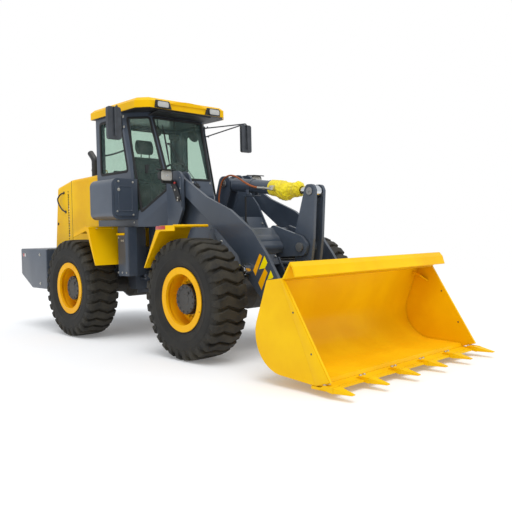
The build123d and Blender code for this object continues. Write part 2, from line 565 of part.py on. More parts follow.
def shell_face(inset):
    """Return the shell's side profile, moved inwards by an inset."""
    x0, z0, radius = BACK_ARC[0], BACK_ARC[1], BACK_ARC[2] - inset
    low, high = math.radians(268), math.radians(156)
    middle = (low + high) / 2
    points = [(BUCKET_PIN[0] + x0 + radius * math.cos(a), BUCKET_PIN[1] + z0 + radius * math.sin(a))
              for a in (low, middle, high)]
    mouth = 400 if inset else 0
    floor_front = (BUCKET_PIN[0] + FLOOR_REACH + mouth, BUCKET_PIN[1] - FLOOR_DROP + inset)
    top_back = (BUCKET_PIN[0] + 294 + inset, BUCKET_PIN[1] + 596 - inset)
    with BuildSketch(Plane.XZ.offset(-BUCKET_HALF)) as face:
        with BuildLine():
            Line(floor_front, points[0])
            ThreePointArc(*points)
            Line(points[2], top_back)
            top_front = (BUCKET_PIN[0] + 494 + mouth, BUCKET_PIN[1] + 622 - inset + mouth * 0.13)
            Line(top_back, top_front)
            Line(top_front, floor_front)
        make_face()
    return face.sketch


with BuildPart() as bucket:
    extrude(shell_face(0), amount=2 * BUCKET_HALF)
    hollow = Pos(0, -BUCKET_SIDE, 0) * extrude(shell_face(BUCKET_SHELL), amount=2 * (BUCKET_HALF - BUCKET_SIDE),
                                              mode=Mode.PRIVATE)
    add(hollow, mode=Mode.SUBTRACT)
    # spill guard on the top edge
    guard_corners = [(494, 622, 0), (588, 767, 0), (627, 725, 0), (654, 638, 0), (640, 634, 0), (612, 718, 0),
                     (588, 742, 0), (512, 614, 0), (300, 590, 0), (294, 596, 0)]
    slab(guard_corners, -BUCKET_HALF, BUCKET_HALF, BUCKET_PIN)
    slab([(FLOOR_REACH, -FLOOR_DROP, 0), (FLOOR_REACH + 155, 47 - FLOOR_DROP, 0), (494, 622, 0)], BUCKET_HALF - BUCKET_SIDE, BUCKET_HALF, BUCKET_PIN)
    # ears for the arms and for the tilt link
    arm_ear = [(-88, 20, 60), (-60, -88, 50), (60, -88, 0), (200, -100, 0), (150, 40, 0), (140, 130, 0), (40, 110, 60)]
    for y in (ear_inner - EAR_THICK, ear_outer):
        slab(arm_ear, y, y + EAR_THICK, BUCKET_PIN)
    mirror(about=Plane.XZ)
    link_ear = [(20, 270, 40), (-10, 190, 40), (20, 110, 30), (150, 20, 0), (150, 200, 0), (230, 420, 0), (180, 430, 0)]
    for y in (-LINK_EAR - EAR_THICK, LINK_EAR):
        slab(link_ear, y, y + EAR_THICK, BUCKET_PIN)
    round_y(BUCKET_PIN, PIN_RADIUS + FIT, -700, 700, Mode.SUBTRACT)
    round_y(LINK_PIN, PIN_RADIUS + FIT, -300, 300, Mode.SUBTRACT)
save(bucket.part, "bucket")

with BuildPart() as bucket_pins:
    pin_in = ear_inner - EAR_THICK - 18
    pin_out = ear_outer + EAR_THICK + 18
    round_y(BUCKET_PIN, PIN_RADIUS, pin_in, pin_out)
    round_y(BUCKET_PIN, PIN_RADIUS + 14, pin_in, pin_in + 16)
    round_y(BUCKET_PIN, PIN_RADIUS + 14, pin_out - 16, pin_out)
    mirror(about=Plane.XZ)
save(bucket_pins.part, "bucket_pins")

with BuildPart() as link_pin:
    pin_out = LINK_EAR + EAR_THICK + 18
    round_y(LINK_PIN, PIN_RADIUS, -pin_out, pin_out)
    for y in (-pin_out, pin_out - 16):
        round_y(LINK_PIN, PIN_RADIUS + 14, y, y + 16)
save(link_pin.part, "link_pin")

EDGE_THICK = 28
TOOTH_HALF = 50
tooth_tip = FRONT + TOOTH_REACH
edge_front = tooth_tip - TOOTH_LENGTH
edge_back = edge_front - 205
edge_top = BUCKET_PIN[1] - FLOOR_DROP - SEAT
with BuildPart() as bucket_edge:
    edge_corners = [(edge_back, 60, 0), (edge_front, 60, 0), (edge_front, 66, 0), (edge_front - 45, 60 + EDGE_THICK, 0),
                    (edge_back + 60, 60 + EDGE_THICK, 0), (edge_back + 40, edge_top, 0), (edge_back, edge_top, 0)]
    box((edge_back, edge_front - 40), (-BUCKET_HALF - 8, BUCKET_HALF + 8), (55, edge_top))
    box((edge_front - 60, edge_front), (-BUCKET_HALF - 8, BUCKET_HALF + 8), (60, 78))
    spacing = (2 * BUCKET_HALF - 62) / (TEETH - 1)
    for index in range(TEETH):
        y = -BUCKET_HALF + 31 + index * spacing
        holder = [(edge_front - 100, 79, 0), (edge_front - 60, 105, 0), (edge_front + 40, 102, 0),
                  (edge_front + 40, 50, 0), (edge_front - 10, 56, 0)]
        slab(holder, y - TOOTH_HALF, y + TOOTH_HALF)
        points = []
        for x, centre_z, width, height in ((edge_front + 39, 76, 2 * TOOTH_HALF - 8, 46), (tooth_tip, 62, 44, 8)):
            with BuildSketch(Plane(origin=(x, y, centre_z), x_dir=(0, 1, 0), z_dir=(1, 0, 0))) as tooth_face:
                Rectangle(width, height)
            points.append(tooth_face.sketch)
        loft(points, ruled=True)
save(bucket_edge.part, "bucket_edge")

# ---------------------------------------------------------------- tilt cylinder
BARREL_RADIUS = 80
TILT_ROD_RADIUS = 38
tilt_length, tilt_angle, tilt_unit = along(TILT_REAR, CRANK_TOP)
TILT_BARREL_END = 850
WRAP_START = 770
WRAP_END = 1235
with BuildPart() as tilt_barrel:
    round_y(TILT_REAR, 72, -EYE_HALF, EYE_HALF)
    tube(TILT_REAR, tilt_unit, 0, 42, 0, 170)
    tube(TILT_REAR, tilt_unit, 0, BARREL_RADIUS, 120, TILT_BARREL_END)
    tube(TILT_REAR, tilt_unit, 0, TILT_ROD_RADIUS + FIT, 200, TILT_BARREL_END, Mode.SUBTRACT)
    round_y(TILT_REAR, PIN_RADIUS + FIT, -EYE_HALF, EYE_HALF, Mode.SUBTRACT)
save(tilt_barrel.part, "tilt_barrel")
with BuildPart() as tilt_rod:
    tube(TILT_REAR, tilt_unit, 0, TILT_ROD_RADIUS, 460, tilt_length - 60)
    tube(TILT_REAR, tilt_unit, 0, 46, tilt_length - 110, tilt_length - 40)
    round_y(CRANK_TOP, 66, -EYE_HALF, EYE_HALF)
    round_y(CRANK_TOP, PIN_RADIUS - 3, -CRANK_INNER + 1, CRANK_INNER - 1)
save(tilt_rod.part, "tilt_rod")
with BuildPart() as tilt_wrap:
    tube(TILT_REAR, tilt_unit, 0, BARREL_RADIUS + 22, WRAP_START, TILT_BARREL_END + 120)
    tube(TILT_REAR, tilt_unit, 0, 86, TILT_BARREL_END + 120, WRAP_END)
    tube(TILT_REAR, tilt_unit, 0, BARREL_RADIUS + 2, WRAP_START, TILT_BARREL_END + 100, Mode.SUBTRACT)
    tube(TILT_REAR, tilt_unit, 0, TILT_ROD_RADIUS + SEAT, TILT_BARREL_END, WRAP_END, Mode.SUBTRACT)
save(tilt_wrap.part, "tilt_wrap")

# ---------------------------------------------------------------- lift cylinders
LIFT_BARREL_RADIUS = 50
LIFT_ROD_RADIUS = 28
LIFT_BARREL_END = 1300
lift_length, lift_angle, lift_unit = along(LIFT_REAR, LIFT_FRONT)
with BuildPart() as lift_barrels:
    round_y(LIFT_REAR, 62, LIFT_Y - 30, LIFT_Y + 30)
    tube(LIFT_REAR, lift_unit, LIFT_Y, LIFT_BARREL_RADIUS, 56, LIFT_BARREL_END)
    tube(LIFT_REAR, lift_unit, LIFT_Y, LIFT_ROD_RADIUS + FIT, 90, LIFT_BARREL_END, Mode.SUBTRACT)
    round_y(LIFT_REAR, PIN_RADIUS + FIT, LIFT_Y - 30, LIFT_Y + 30, Mode.SUBTRACT)
    mirror(about=Plane.XZ)
save(lift_barrels.part, "lift_barrels")
with BuildPart() as lift_rods:
    tube(LIFT_REAR, lift_unit, LIFT_Y, LIFT_ROD_RADIUS, 130, lift_length - 40)
    round_y(LIFT_FRONT, 58, ARM_OUTER + 9, LIFT_Y + 30)
    round_y(LIFT_FRONT, PIN_RADIUS, LIFT_Y + 30, LIFT_Y + 48)
    mirror(about=Plane.XZ)
save(lift_rods.part, "lift_rods")

# ---------------------------------------------------------------- steering cylinders
STEER_BARREL_RADIUS = 42
STEER_ROD_RADIUS = 20
STEER_EYE = 36
STEER_EYE_HALF = 25
STEER_BARREL_SHARE = 0.55        # barrel's length over the distance between the pins
STEER_ROD_SHARE = 0.62
for side_name, side in (("left", 1), ("right", -1)):
    start = (STEER_REAR[0], side * STEER_REAR[1])
    end = (STEER_FRONT[0], side * STEER_FRONT[1])
    length, angle, unit = along(start, end)
    base = Plane(origin=(start[0], start[1], STEER_HEIGHT), x_dir=(0, 0, 1), z_dir=(unit[0], unit[1], 0))
    low, high = STEER_HEIGHT - STEER_EYE_HALF, STEER_HEIGHT + STEER_EYE_HALF
    with BuildPart() as steer_barrel:
        round_z(start, STEER_EYE, low, high)
        with BuildSketch(base.offset(STEER_EYE - 8)) as barrel_neck:
            Circle(STEER_EYE_HALF)
        extrude(barrel_neck.sketch, amount=60)
        with BuildSketch(base.offset(STEER_EYE + 40)) as barrel_ring:
            Circle(STEER_BARREL_RADIUS)
        extrude(barrel_ring.sketch, amount=length * STEER_BARREL_SHARE)
        with BuildSketch(base.offset(STEER_EYE + 60)) as barrel_bore:
            Circle(STEER_ROD_RADIUS + FIT)
        extrude(barrel_bore.sketch, amount=length, mode=Mode.SUBTRACT)
        round_z(start, 20 + FIT, low, high, Mode.SUBTRACT)
    save(steer_barrel.part, f"steer_barrel_{side_name}")
    with BuildPart() as steer_rod:
        with BuildSketch(base.offset(length * (1 - STEER_ROD_SHARE))) as rod_ring:
            Circle(STEER_ROD_RADIUS)
        extrude(rod_ring.sketch, amount=length * STEER_ROD_SHARE - 20)
        round_z(end, STEER_EYE, low, high)
        round_z(end, 18, low - 3, high + 3)
    save(steer_rod.part, f"steer_rod_{side_name}")

# ---------------------------------------------------------------- cab
GLASS_FACE = -1220               # front pane's foot at the belt, from the front axle
BELT = 2050
LEAN = 0.296                     # backward lean of the glass per unit of height
PANE_HALF = 370                  # half width of the centre pane at the belt
PANE_SPREAD = 0.061              # widening of the centre pane per unit of height
FACET = 1.03                     # sweep of the side panes, x per unit of y
SILL_FACE = -1180                # lower front panel, from the front axle
SILL_FACET = 0.78
cab_back = REAR + CAB_REAR


def pane_plan(height, inset):
    """Return the cab's plan corners at a height, inside the outer skin by an inset."""
    front = FRONT + GLASS_FACE - LEAN * (height - BELT) - inset * 1.04
    seam = PANE_HALF + PANE_SPREAD * (height - BELT) - inset * 0.4
    width = CAB_HALF - inset
    pillar = front - FACET * (width - seam)
    back = cab_back + inset
    return [(back, -width, 0), (pillar, -width, 0), (front, -seam, 0), (front, seam, 0), (pillar, width, 0),
            (back, width, 0)]


def sill_plan(inset):
    """Return the plan corners of the lower panels, inside the outer skin by an inset."""
    front = FRONT + SILL_FACE - inset
    width = CAB_HALF - inset
    seam = PANE_HALF - inset * 0.3
    pillar = front - SILL_FACET * (width - seam)
    return [(cab_back + inset, -width, 0), (pillar, -width, 0), (front, -seam, 0), (front, seam, 0),
            (pillar, width, 0), (cab_back + inset, width, 0)]


def cab_body(inset, low, high):
    """Return the cab's closed body between two heights, inside the outer skin by an inset."""
    with BuildPart() as body:
        extrude(outline(Plane.XY.offset(low), sill_plan(inset)), amount=high - low)
        with BuildPart(mode=Mode.PRIVATE) as cone:
            loft([outline(Plane.XY.offset(low), pane_plan(low, inset)),
                  outline(Plane.XY.offset(high), pane_plan(high, inset))], ruled=True)
    return body.part & cone.part


PILLAR = 62
HEADER_DEPTH = 75
DOOR_FOOT = CAB_FLOOR + 60
door_rear = cab_back + 190
header_z = CAB_HEADER - HEADER_DEPTH


def pillar_x(height):
    """Return x of the front pillar's outer line at a height."""
    return pane_plan(height, 0)[1][0]


def side_window(gap, margin):
    """Return the outline of a side window, smaller by a gap."""
    foot = BELT + 190
    return [(cab_back + margin + gap, foot + gap, 0), (pillar_x(foot) - PILLAR - gap, foot + gap, 0),
            (pillar_x(header_z) - PILLAR - gap, header_z - gap, 0), (cab_back + margin + gap, header_z - gap, 0)]


def window_prisms(gap):
    """Return the prisms that cut the windows, each smaller by a gap."""
    prisms = []
    front = Plane(origin=(FRONT - 2000, 0, 0), x_dir=(0, 1, 0), z_dir=(1, 0, 0))
    foot = BELT + 80
    low_half = PANE_HALF + PANE_SPREAD * (foot - BELT) - 22 - gap
    high_half = PANE_HALF + PANE_SPREAD * (header_z - BELT) - 22 - gap
    centre_pane = [(-low_half, foot + gap, 0), (low_half, foot + gap, 0), (high_half, header_z - gap, 0),
                   (-high_half, header_z - gap, 0)]
    prisms.append(extrude(outline(front, centre_pane), amount=1250))
    rear_plane = Plane(origin=(cab_back - 200, 0, 0), x_dir=(0, 1, 0), z_dir=(1, 0, 0))
    rear_half = CAB_HALF - 110 - gap
    rear_pane = [(-rear_half, BELT + 190 + gap, 0), (rear_half, BELT + 190 + gap, 0), (rear_half, header_z - gap, 0),
                 (-rear_half, header_z - gap, 0)]
    prisms.append(extrude(outline(rear_plane, rear_pane), amount=400))
    right = Plane.XZ.offset(CAB_HALF - 200)
    prisms.append(extrude(outline(right, side_window(gap, 110)), amount=400))
    facet_length = math.hypot(1, FACET)
    for side in (1, -1):
        direction = (-FACET / facet_length, side / facet_length, 0)
        normal = (1 / facet_length, side * FACET / facet_length, 0)
        seam_x = FRONT + GLASS_FACE
        facet = Plane(origin=(seam_x - normal[0] * 200, side * PANE_HALF - normal[1] * 200, 0),
                      x_dir=direction, z_dir=normal)
        if facet.y_dir.Z < 0:
            facet = Plane(origin=facet.origin, x_dir=direction, z_dir=(-normal[0], -normal[1], 0))
        reach = (CAB_HALF - PANE_HALF) * facet_length
        shift = PANE_SPREAD * (header_z - BELT)
        sideways = LEAN * (header_z - BELT) * FACET / facet_length
        pane = [(24 + gap, BELT - 90 + gap, 0), (reach - PILLAR - gap, BELT - 360 + gap, 0),
                (reach - PILLAR + sideways * 0.62 - gap, header_z - gap, 0),
                (24 + gap + sideways + shift * 0.7, header_z - gap, 0)]
        amount = 420 if facet.z_dir.X > 0 else -420
        prisms.append(extrude(outline(facet, pane), amount=amount))
    return prisms


def door_outline(gap):
    """Return the side outline of the door's opening, smaller by a gap."""
    foot_front = sill_plan(0)[1][0] - PILLAR - gap
    return [(door_rear + gap, DOOR_FOOT + gap, 0), (foot_front, DOOR_FOOT + gap, 0), (foot_front, DOOR_FOOT + 140, 0),
            (pillar_x(header_z) - PILLAR - gap, header_z - gap, 0), (door_rear + gap, header_z - gap, 0)]


DOOR_HINGES = (1760, 2800)       # heights of the two door hinges
KNUCKLE_RADIUS = 14
KNUCKLE_LENGTH = 50
LEAF_LENGTH = 60
hinge_y = CAB_HALF + KNUCKLE_RADIUS + 2


def hinge_half(low, leaf_stop):
    """Add one knuckle and its leaf to the current part, from a height and towards an x."""
    round_z((door_rear, hinge_y), KNUCKLE_RADIUS, low, low + KNUCKLE_LENGTH)
    box(sorted((door_rear, leaf_stop)), (CAB_HALF - 2, CAB_HALF + 6), (low, low + KNUCKLE_LENGTH))


left_plane = Plane.XZ.offset(-CAB_HALF - 30)
cab_shell = cab_body(0, CAB_FLOOR, CAB_HEADER) - cab_body(CAB_WALL, CAB_FLOOR + CAB_WALL, CAB_HEADER - 30)
door_hole = extrude(outline(left_plane, door_outline(0)), amount=200)
openings = window_prisms(0)
with BuildPart() as cab_frame:
    add(cab_shell)
    for prism in openings:
        add(prism, mode=Mode.SUBTRACT)
    add(door_hole, mode=Mode.SUBTRACT)
    for x in (cab_back + 120, cab_back + 900):
        for side in (1, -1):
            box((x - 60, x + 60), (side * 360 - 60, side * 360 + 60), (RAIL_TOP, CAB_FLOOR))
    for height in DOOR_HINGES:
        hinge_half(height, door_rear - LEAF_LENGTH)
save(cab_frame.part, "cab_frame")

GLASS_INSET = 16
GLASS_THICK = 6
glass_skin = cab_body(GLASS_INSET, CAB_FLOOR + 80, CAB_HEADER - 40)
glass_skin = glass_skin - cab_body(GLASS_INSET + GLASS_THICK, CAB_FLOOR + 70, CAB_HEADER - 30)
panes = [glass_skin & prism for prism in window_prisms(SEAT)]
with BuildPart() as cab_glass:
    for pane in panes:
        add(pane)
save(cab_glass.part, "cab_glass")

door_skin = cab_body(0, CAB_FLOOR, CAB_HEADER) - cab_body(CAB_WALL - 8, CAB_FLOOR - 10, CAB_HEADER + 10)
door_panel = door_skin & extrude(outline(left_plane, door_outline(DOOR_GAP)), amount=200)


def door_window(gap):
    """Return the outline of the door's window, smaller by a gap."""
    rail = 70 + gap
    low = DOOR_FOOT + 180 + gap
    corners = door_outline(rail)
    return [(corners[0][0], low, 0), (corners[1][0], low, 0), (corners[2][0], low + 20, 0), corners[3], corners[4]]


door_hollow = extrude(outline(left_plane, door_window(0)), amount=200)
with BuildPart() as cab_door:
    add(door_panel)
    add(door_hollow, mode=Mode.SUBTRACT)
    for height in DOOR_HINGES:
        hinge_half(height + KNUCKLE_LENGTH + SEAT, door_rear + DOOR_GAP + LEAF_LENGTH)
save(cab_door.part, "cab_door")
door_pane = glass_skin & extrude(outline(left_plane, door_window(SEAT)), amount=200)
with BuildPart() as door_glass:
    add(door_pane)
save(door_glass.part, "door_glass")

ROOF_OVERHANG = 50
ROOF_FRONT = -1240
ROOF_BACK = 50
ROOF_SIDE = 90
ROOF_CROWN = 45
BROW_HALF = 330                  # half width of the arched brow between the lamps
BROW_RISE = 32
BROW_DEPTH = 200
with BuildPart() as cab_roof:
    roof_low = CAB_HEADER
    roof_plan = [(REAR + ROOF_BACK, -CAB_HALF - ROOF_OVERHANG, 40), (FRONT + ROOF_FRONT - 150, -CAB_HALF - ROOF_OVERHANG, 0),
                 (FRONT + ROOF_FRONT, -CAB_HALF + 80, 0), (FRONT + ROOF_FRONT, CAB_HALF - 80, 0),
                 (FRONT + ROOF_FRONT - 150, CAB_HALF + ROOF_OVERHANG, 0), (REAR + ROOF_BACK, CAB_HALF + ROOF_OVERHANG, 40)]
    extrude(outline(Plane.XY.offset(roof_low), roof_plan), amount=ROOF_SIDE)
    extrude(outline(Plane.XY.offset(roof_low + ROOF_SIDE), roof_plan), amount=ROOF_CROWN, taper=50)
    with BuildSketch(Plane(origin=(FRONT + ROOF_FRONT - BROW_DEPTH, 0, roof_low), x_dir=(0, 1, 0), z_dir=(1, 0, 0))):
        with BuildLine():
            ThreePointArc((-BROW_HALF, ROOF_SIDE - 20), (0, ROOF_SIDE + BROW_RISE), (BROW_HALF, ROOF_SIDE - 20))
            Line((BROW_HALF, ROOF_SIDE - 20), (-BROW_HALF, ROOF_SIDE - 20))
        make_face()
    extrude(amount=BROW_DEPTH + 12)
save(cab_roof.part, "cab_roof")


# ---------------------------------------------------------------- hood, grille, exhaust, counterweight
WEIGHT_TOP = RAIL_TOP
HOOD_FOOT = WEIGHT_TOP + SEAT
HOOD_FRONT = 7
HOOD_TOP = 2278
HOOD_FALL = 16                   # fall of the hood's top towards the bend
HOOD_BEND = -817
hood_corners = [(HOOD_FRONT, HOOD_FOOT, 0), (HOOD_FRONT, HOOD_TOP, 30), (HOOD_BEND, HOOD_TOP - HOOD_FALL, 0), (-1288, 2171, 60),
                (-1410, HOOD_FOOT, 0)]
grille_low = (-1400, 1310)
grille_high = (-1307, 2020)
GRILLE_HALF = 470
VENTS = 19                       # small openings in a column on each side of the hood
VENT_SIZE = 34
VENT_PITCH = 34
VENT_LOW = 1420
VENT_BACK = -920                 # from the rear axle
slope_length, slope_angle, slope_unit = along(grille_low, grille_high)
grille_plane = Plane(origin=(REAR + grille_low[0], 0, grille_low[1]), x_dir=(0, 1, 0),
                     z_dir=(slope_unit[1], 0, -slope_unit[0]))
with BuildPart() as hood:
    slab(hood_corners, -HOOD_HALF, HOOD_HALF, (REAR, 0))
    top_edges = hood.edges().filter_by(lambda edge: abs(abs(edge.center().Y) - HOOD_HALF) < 1 and edge.center().Z > 2150)
    fillet(top_edges, 45)
    bottom = hood.faces().sort_by(Axis.Z)[0]
    offset(amount=-HOOD_SKIN, openings=bottom)
    grille_hole = [(-GRILLE_HALF, 0, 30), (GRILLE_HALF, 0, 30), (GRILLE_HALF, slope_length, 30),
                   (-GRILLE_HALF, slope_length, 30)]
    extrude(outline(grille_plane.offset(-80), grille_hole), amount=160, mode=Mode.SUBTRACT)
    with BuildSketch(Plane.XZ.offset(-HOOD_HALF - 10)) as vents:
        with Locations((REAR + VENT_BACK, VENT_LOW + VENT_PITCH * (VENTS - 1) / 2)):
            with GridLocations(0, VENT_PITCH, 1, VENTS):
                Rectangle(VENT_SIZE, VENT_SIZE * 0.6)
    extrude(vents.sketch, amount=2 * HOOD_HALF + 20, mode=Mode.SUBTRACT)
save(hood.part, "hood")

SLATS = 14
with BuildPart() as rear_grille:
    low, high = SEAT, slope_length - SEAT
    rim_out = [(-GRILLE_HALF + SEAT, low, 30), (GRILLE_HALF - SEAT, low, 30), (GRILLE_HALF - SEAT, high, 30),
               (-GRILLE_HALF + SEAT, high, 30)]
    rim_in = [(-GRILLE_HALF + 30, 30, 0), (GRILLE_HALF - 30, 30, 0), (GRILLE_HALF - 30, slope_length - 30, 0),
              (-GRILLE_HALF + 30, slope_length - 30, 0)]
    extrude(outline(grille_plane.offset(-10), rim_out), amount=30)
    extrude(outline(grille_plane.offset(-10), rim_in), amount=30, mode=Mode.SUBTRACT)
    pitch = (slope_length - 60) / SLATS
    for index in range(SLATS):
        level = 30 + pitch * (index + 0.5)
        slat = [(-GRILLE_HALF + 25, level - 8, 0), (GRILLE_HALF - 25, level - 8, 0), (GRILLE_HALF - 25, level + 8, 0),
                (-GRILLE_HALF + 25, level + 8, 0)]
        extrude(outline(grille_plane.offset(-5), slat), amount=20)
save(rear_grille.part, "rear_grille")

WEIGHT_LOW = 620
WEIGHT_HALF = 1100
TOW_RADIUS = 20
slot_half = REAR_FRAME_HALF + SEAT
weight_plan = [(-720, -WEIGHT_HALF, 40), (-980, -WEIGHT_HALF, 60), (-1560, -760, 120), (REAR_FACE, -620, 60),
               (REAR_FACE, 620, 60), (-1560, 760, 120), (-980, WEIGHT_HALF, 60), (-720, WEIGHT_HALF, 40)]
weight_side = [(-720, WEIGHT_LOW, 0), (-1250, WEIGHT_LOW, 60), (REAR_FACE, 820, 30), (REAR_FACE, WEIGHT_TOP, 30),
               (-720, WEIGHT_TOP, 0)]
with BuildPart() as counterweight:
    plan_face = outline(Plane.XY.offset(WEIGHT_LOW), [(REAR + x, y, radius) for x, y, radius in weight_plan])
    extrude(plan_face, amount=WEIGHT_TOP - WEIGHT_LOW)
    slab(weight_side, -WEIGHT_HALF, WEIGHT_HALF, (REAR, 0), Mode.INTERSECT)
    box((REAR - 1450 - SEAT, REAR - 700), (-slot_half, slot_half), (WEIGHT_LOW, WEIGHT_TOP), Mode.SUBTRACT)
    box((REAR + REAR_FACE, REAR + REAR_FACE + 110), (-70, 70), (880, 980), Mode.SUBTRACT)
    round_z((REAR + REAR_FACE + 55, 0), TOW_RADIUS, 700, 1060, Mode.SUBTRACT)
save(counterweight.part, "counterweight")

EXHAUST_BACK = 650               # behind the rear axle
EXHAUST = (REAR - EXHAUST_BACK, -300)
EXHAUST_RADIUS = 48
hood_slope = HOOD_FALL / (HOOD_FRONT - HOOD_BEND)
exhaust_foot = HOOD_TOP - (HOOD_FRONT + EXHAUST_BACK - EXHAUST_RADIUS) * hood_slope + SEAT
with BuildPart() as exhaust_stack:
    with BuildLine() as stack_path:
        FilletPolyline((EXHAUST[0], EXHAUST[1], exhaust_foot), (EXHAUST[0], EXHAUST[1], 2580),
                       (EXHAUST[0] - 120, EXHAUST[1], 2690), radius=110)
    with BuildSketch(Plane(origin=(EXHAUST[0], EXHAUST[1], exhaust_foot))) as stack_ring:
        Circle(EXHAUST_RADIUS)
        Circle(EXHAUST_RADIUS - 5, mode=Mode.SUBTRACT)
    sweep(stack_ring.sketch, path=stack_path.line)
save(exhaust_stack.part, "exhaust_stack")

# ---------------------------------------------------------------- cab fittings
seat_x = REAR + 600
floor_top = CAB_FLOOR + CAB_WALL
with BuildPart() as driver_seat:
    box((seat_x - 160, seat_x + 160), (-160, 160), (floor_top, floor_top + 300))
    slab([(-240, 300, 20), (250, 300, 20), (280, 380, 50), (240, 440, 40), (-150, 420, 0), (-250, 980, 60),
          (-360, 980, 40), (-260, 330, 40)], -240, 240, (seat_x, floor_top))
    for y in (-290, 239):
        slab([(-240, 560, 0), (120, 580, 0), (120, 620, 15), (-260, 600, 0)], y, y + 50, (seat_x, floor_top))
save(driver_seat.part, "driver_seat")

WHEEL_AT = (REAR + 960, floor_top + 720)
column_unit = (-0.5, 0.866)
with BuildPart() as steering_column:
    slab([(930, 0, 0), (1130, 0, 0), (1090, 420, 60), (1000, 640, 30), (940, 600, 30), (960, 300, 0)], -110, 110,
         (REAR, floor_top))
    wheel_plane = Plane(origin=(WHEEL_AT[0], 0, WHEEL_AT[1]), x_dir=(0, 1, 0), z_dir=(column_unit[0], 0, column_unit[1]))
    with BuildSketch(wheel_plane.offset(-110)) as stem:
        Circle(28)
    extrude(stem.sketch, amount=110)
    with BuildSketch(wheel_plane.offset(-8)) as hub_face:
        Circle(55)
        Rectangle(380, 34)
    extrude(hub_face.sketch, amount=16)
    with BuildSketch(Plane(origin=wheel_plane.origin, x_dir=(0, 1, 0), z_dir=(wheel_plane.y_dir))) as rim_face:
        with Locations((190, 0)):
            Circle(15)
    revolve(rim_face.sketch, axis=Axis(wheel_plane.origin, wheel_plane.z_dir))
save(steering_column.part, "steering_column")

AIR_BOX = (600, 1150)            # from the rear axle
AIR_FOOT = FENDER_TOP + 110
with BuildPart() as air_unit:
    y0 = -CAB_HALF - SEAT
    air_plane = Plane(origin=(REAR + AIR_BOX[0], 0, 0), x_dir=(0, 1, 0), z_dir=(1, 0, 0))
    air_corners = [(y0, AIR_FOOT, 0), (y0, AIR_FOOT + 520, 0), (-1080, AIR_FOOT + 520, 90), (-1080, AIR_FOOT, 90)]
    extrude(outline(air_plane, air_corners), amount=AIR_BOX[1] - AIR_BOX[0])
    air_panel = [(y0 - 40, AIR_FOOT + 40, 20), (y0 - 40, AIR_FOOT + 480, 20), (-1045, AIR_FOOT + 480, 60),
                 (-1045, AIR_FOOT + 40, 60)]
    extrude(outline(air_plane.offset(AIR_BOX[1] - AIR_BOX[0]), air_panel), amount=12)
save(air_unit.part, "air_unit")

SIDE_FOOT = 860
STEP_LOW = 440
STEP_RISE = 330
STEP_DEPTH = 130
SIDE_FRONT = 1080                # ahead of the rear axle, behind the steered lift cylinders
side_plan = [(640, 430, 0), (900, 430, 0), (SIDE_FRONT, 686, 0), (SIDE_FRONT, 840, 40), (840, 840, 40),
             (840, 690, 0), (640, 690, 0)]
with BuildPart() as side_boxes:
    for side in (1, -1):
        plan_face = outline(Plane.XY.offset(SIDE_FOOT), [(REAR + x, side * y, radius) for x, y, radius in side_plan])
        extrude(plan_face, amount=CAB_FLOOR - SEAT - SIDE_FOOT)
    # ladder below the door, hung on the left box
    for x in (REAR + 846, REAR + SIDE_FRONT - 12):
        stringer = outline(Plane.YZ.offset(x), [(760, SIDE_FOOT, 0), (760, STEP_LOW, 0), (840 + STEP_DEPTH, STEP_LOW, 30),
                                                (840 + STEP_DEPTH, SIDE_FOOT + 60, 30), (840, SIDE_FOOT + 150, 0),
                                                (830, SIDE_FOOT + 150, 0), (830, SIDE_FOOT, 0)])
        extrude(stringer, amount=8)
    for z in (STEP_LOW + 20, STEP_LOW + 20 + STEP_RISE):
        box((REAR + 850, REAR + SIDE_FRONT - 8), (770, 840 + STEP_DEPTH - 8), (z, z + 18))
save(side_boxes.part, "side_boxes")


def rod(start, end, radius):
    """Add a round rod between two points to the current part."""
    direction = Vector(*end) - Vector(*start)
    with BuildSketch(Plane(origin=start, z_dir=direction)) as ring:
        Circle(radius)
    extrude(ring.sketch, amount=direction.length)


MIRROR_Y = 1105
mirror_x = FRONT - 1280
with BuildPart() as mirrors:
    for side in (1, -1):
        pillar = (pillar_x(CAB_HEADER - 70) - 20, side * (CAB_HALF + 9), CAB_HEADER - 70)
        lower = (pillar_x(CAB_HEADER - 200) - 20, side * (CAB_HALF + 9), CAB_HEADER - 200)
        elbow = (mirror_x, side * (MIRROR_Y - 30), CAB_HEADER - 35)
        ends = sorted((side * (CAB_HALF + SEAT), side * (CAB_HALF + 14)))
        box((pillar[0] - 35, pillar[0] + 20), ends, (CAB_HEADER - 230, CAB_HEADER - 45))
        rod(pillar, elbow, 9)
        rod(lower, elbow, 9)
        rod(elbow, (mirror_x + 6, side * MIRROR_Y, CAB_HEADER - 70), 9)
        rod((mirror_x + 6, side * MIRROR_Y, CAB_HEADER - 60), (mirror_x + 14, side * MIRROR_Y, CAB_HEADER - 410), 12)
        head = Plane(origin=(mirror_x - 10, side * MIRROR_Y, CAB_HEADER - 250), x_dir=(0, 1, 0), z_dir=(-1, 0, 0))
        with BuildSketch(head) as head_face:
            RectangleRounded(190, 400, 30)
        extrude(head_face.sketch, amount=45)
save(mirrors.part, "mirrors")

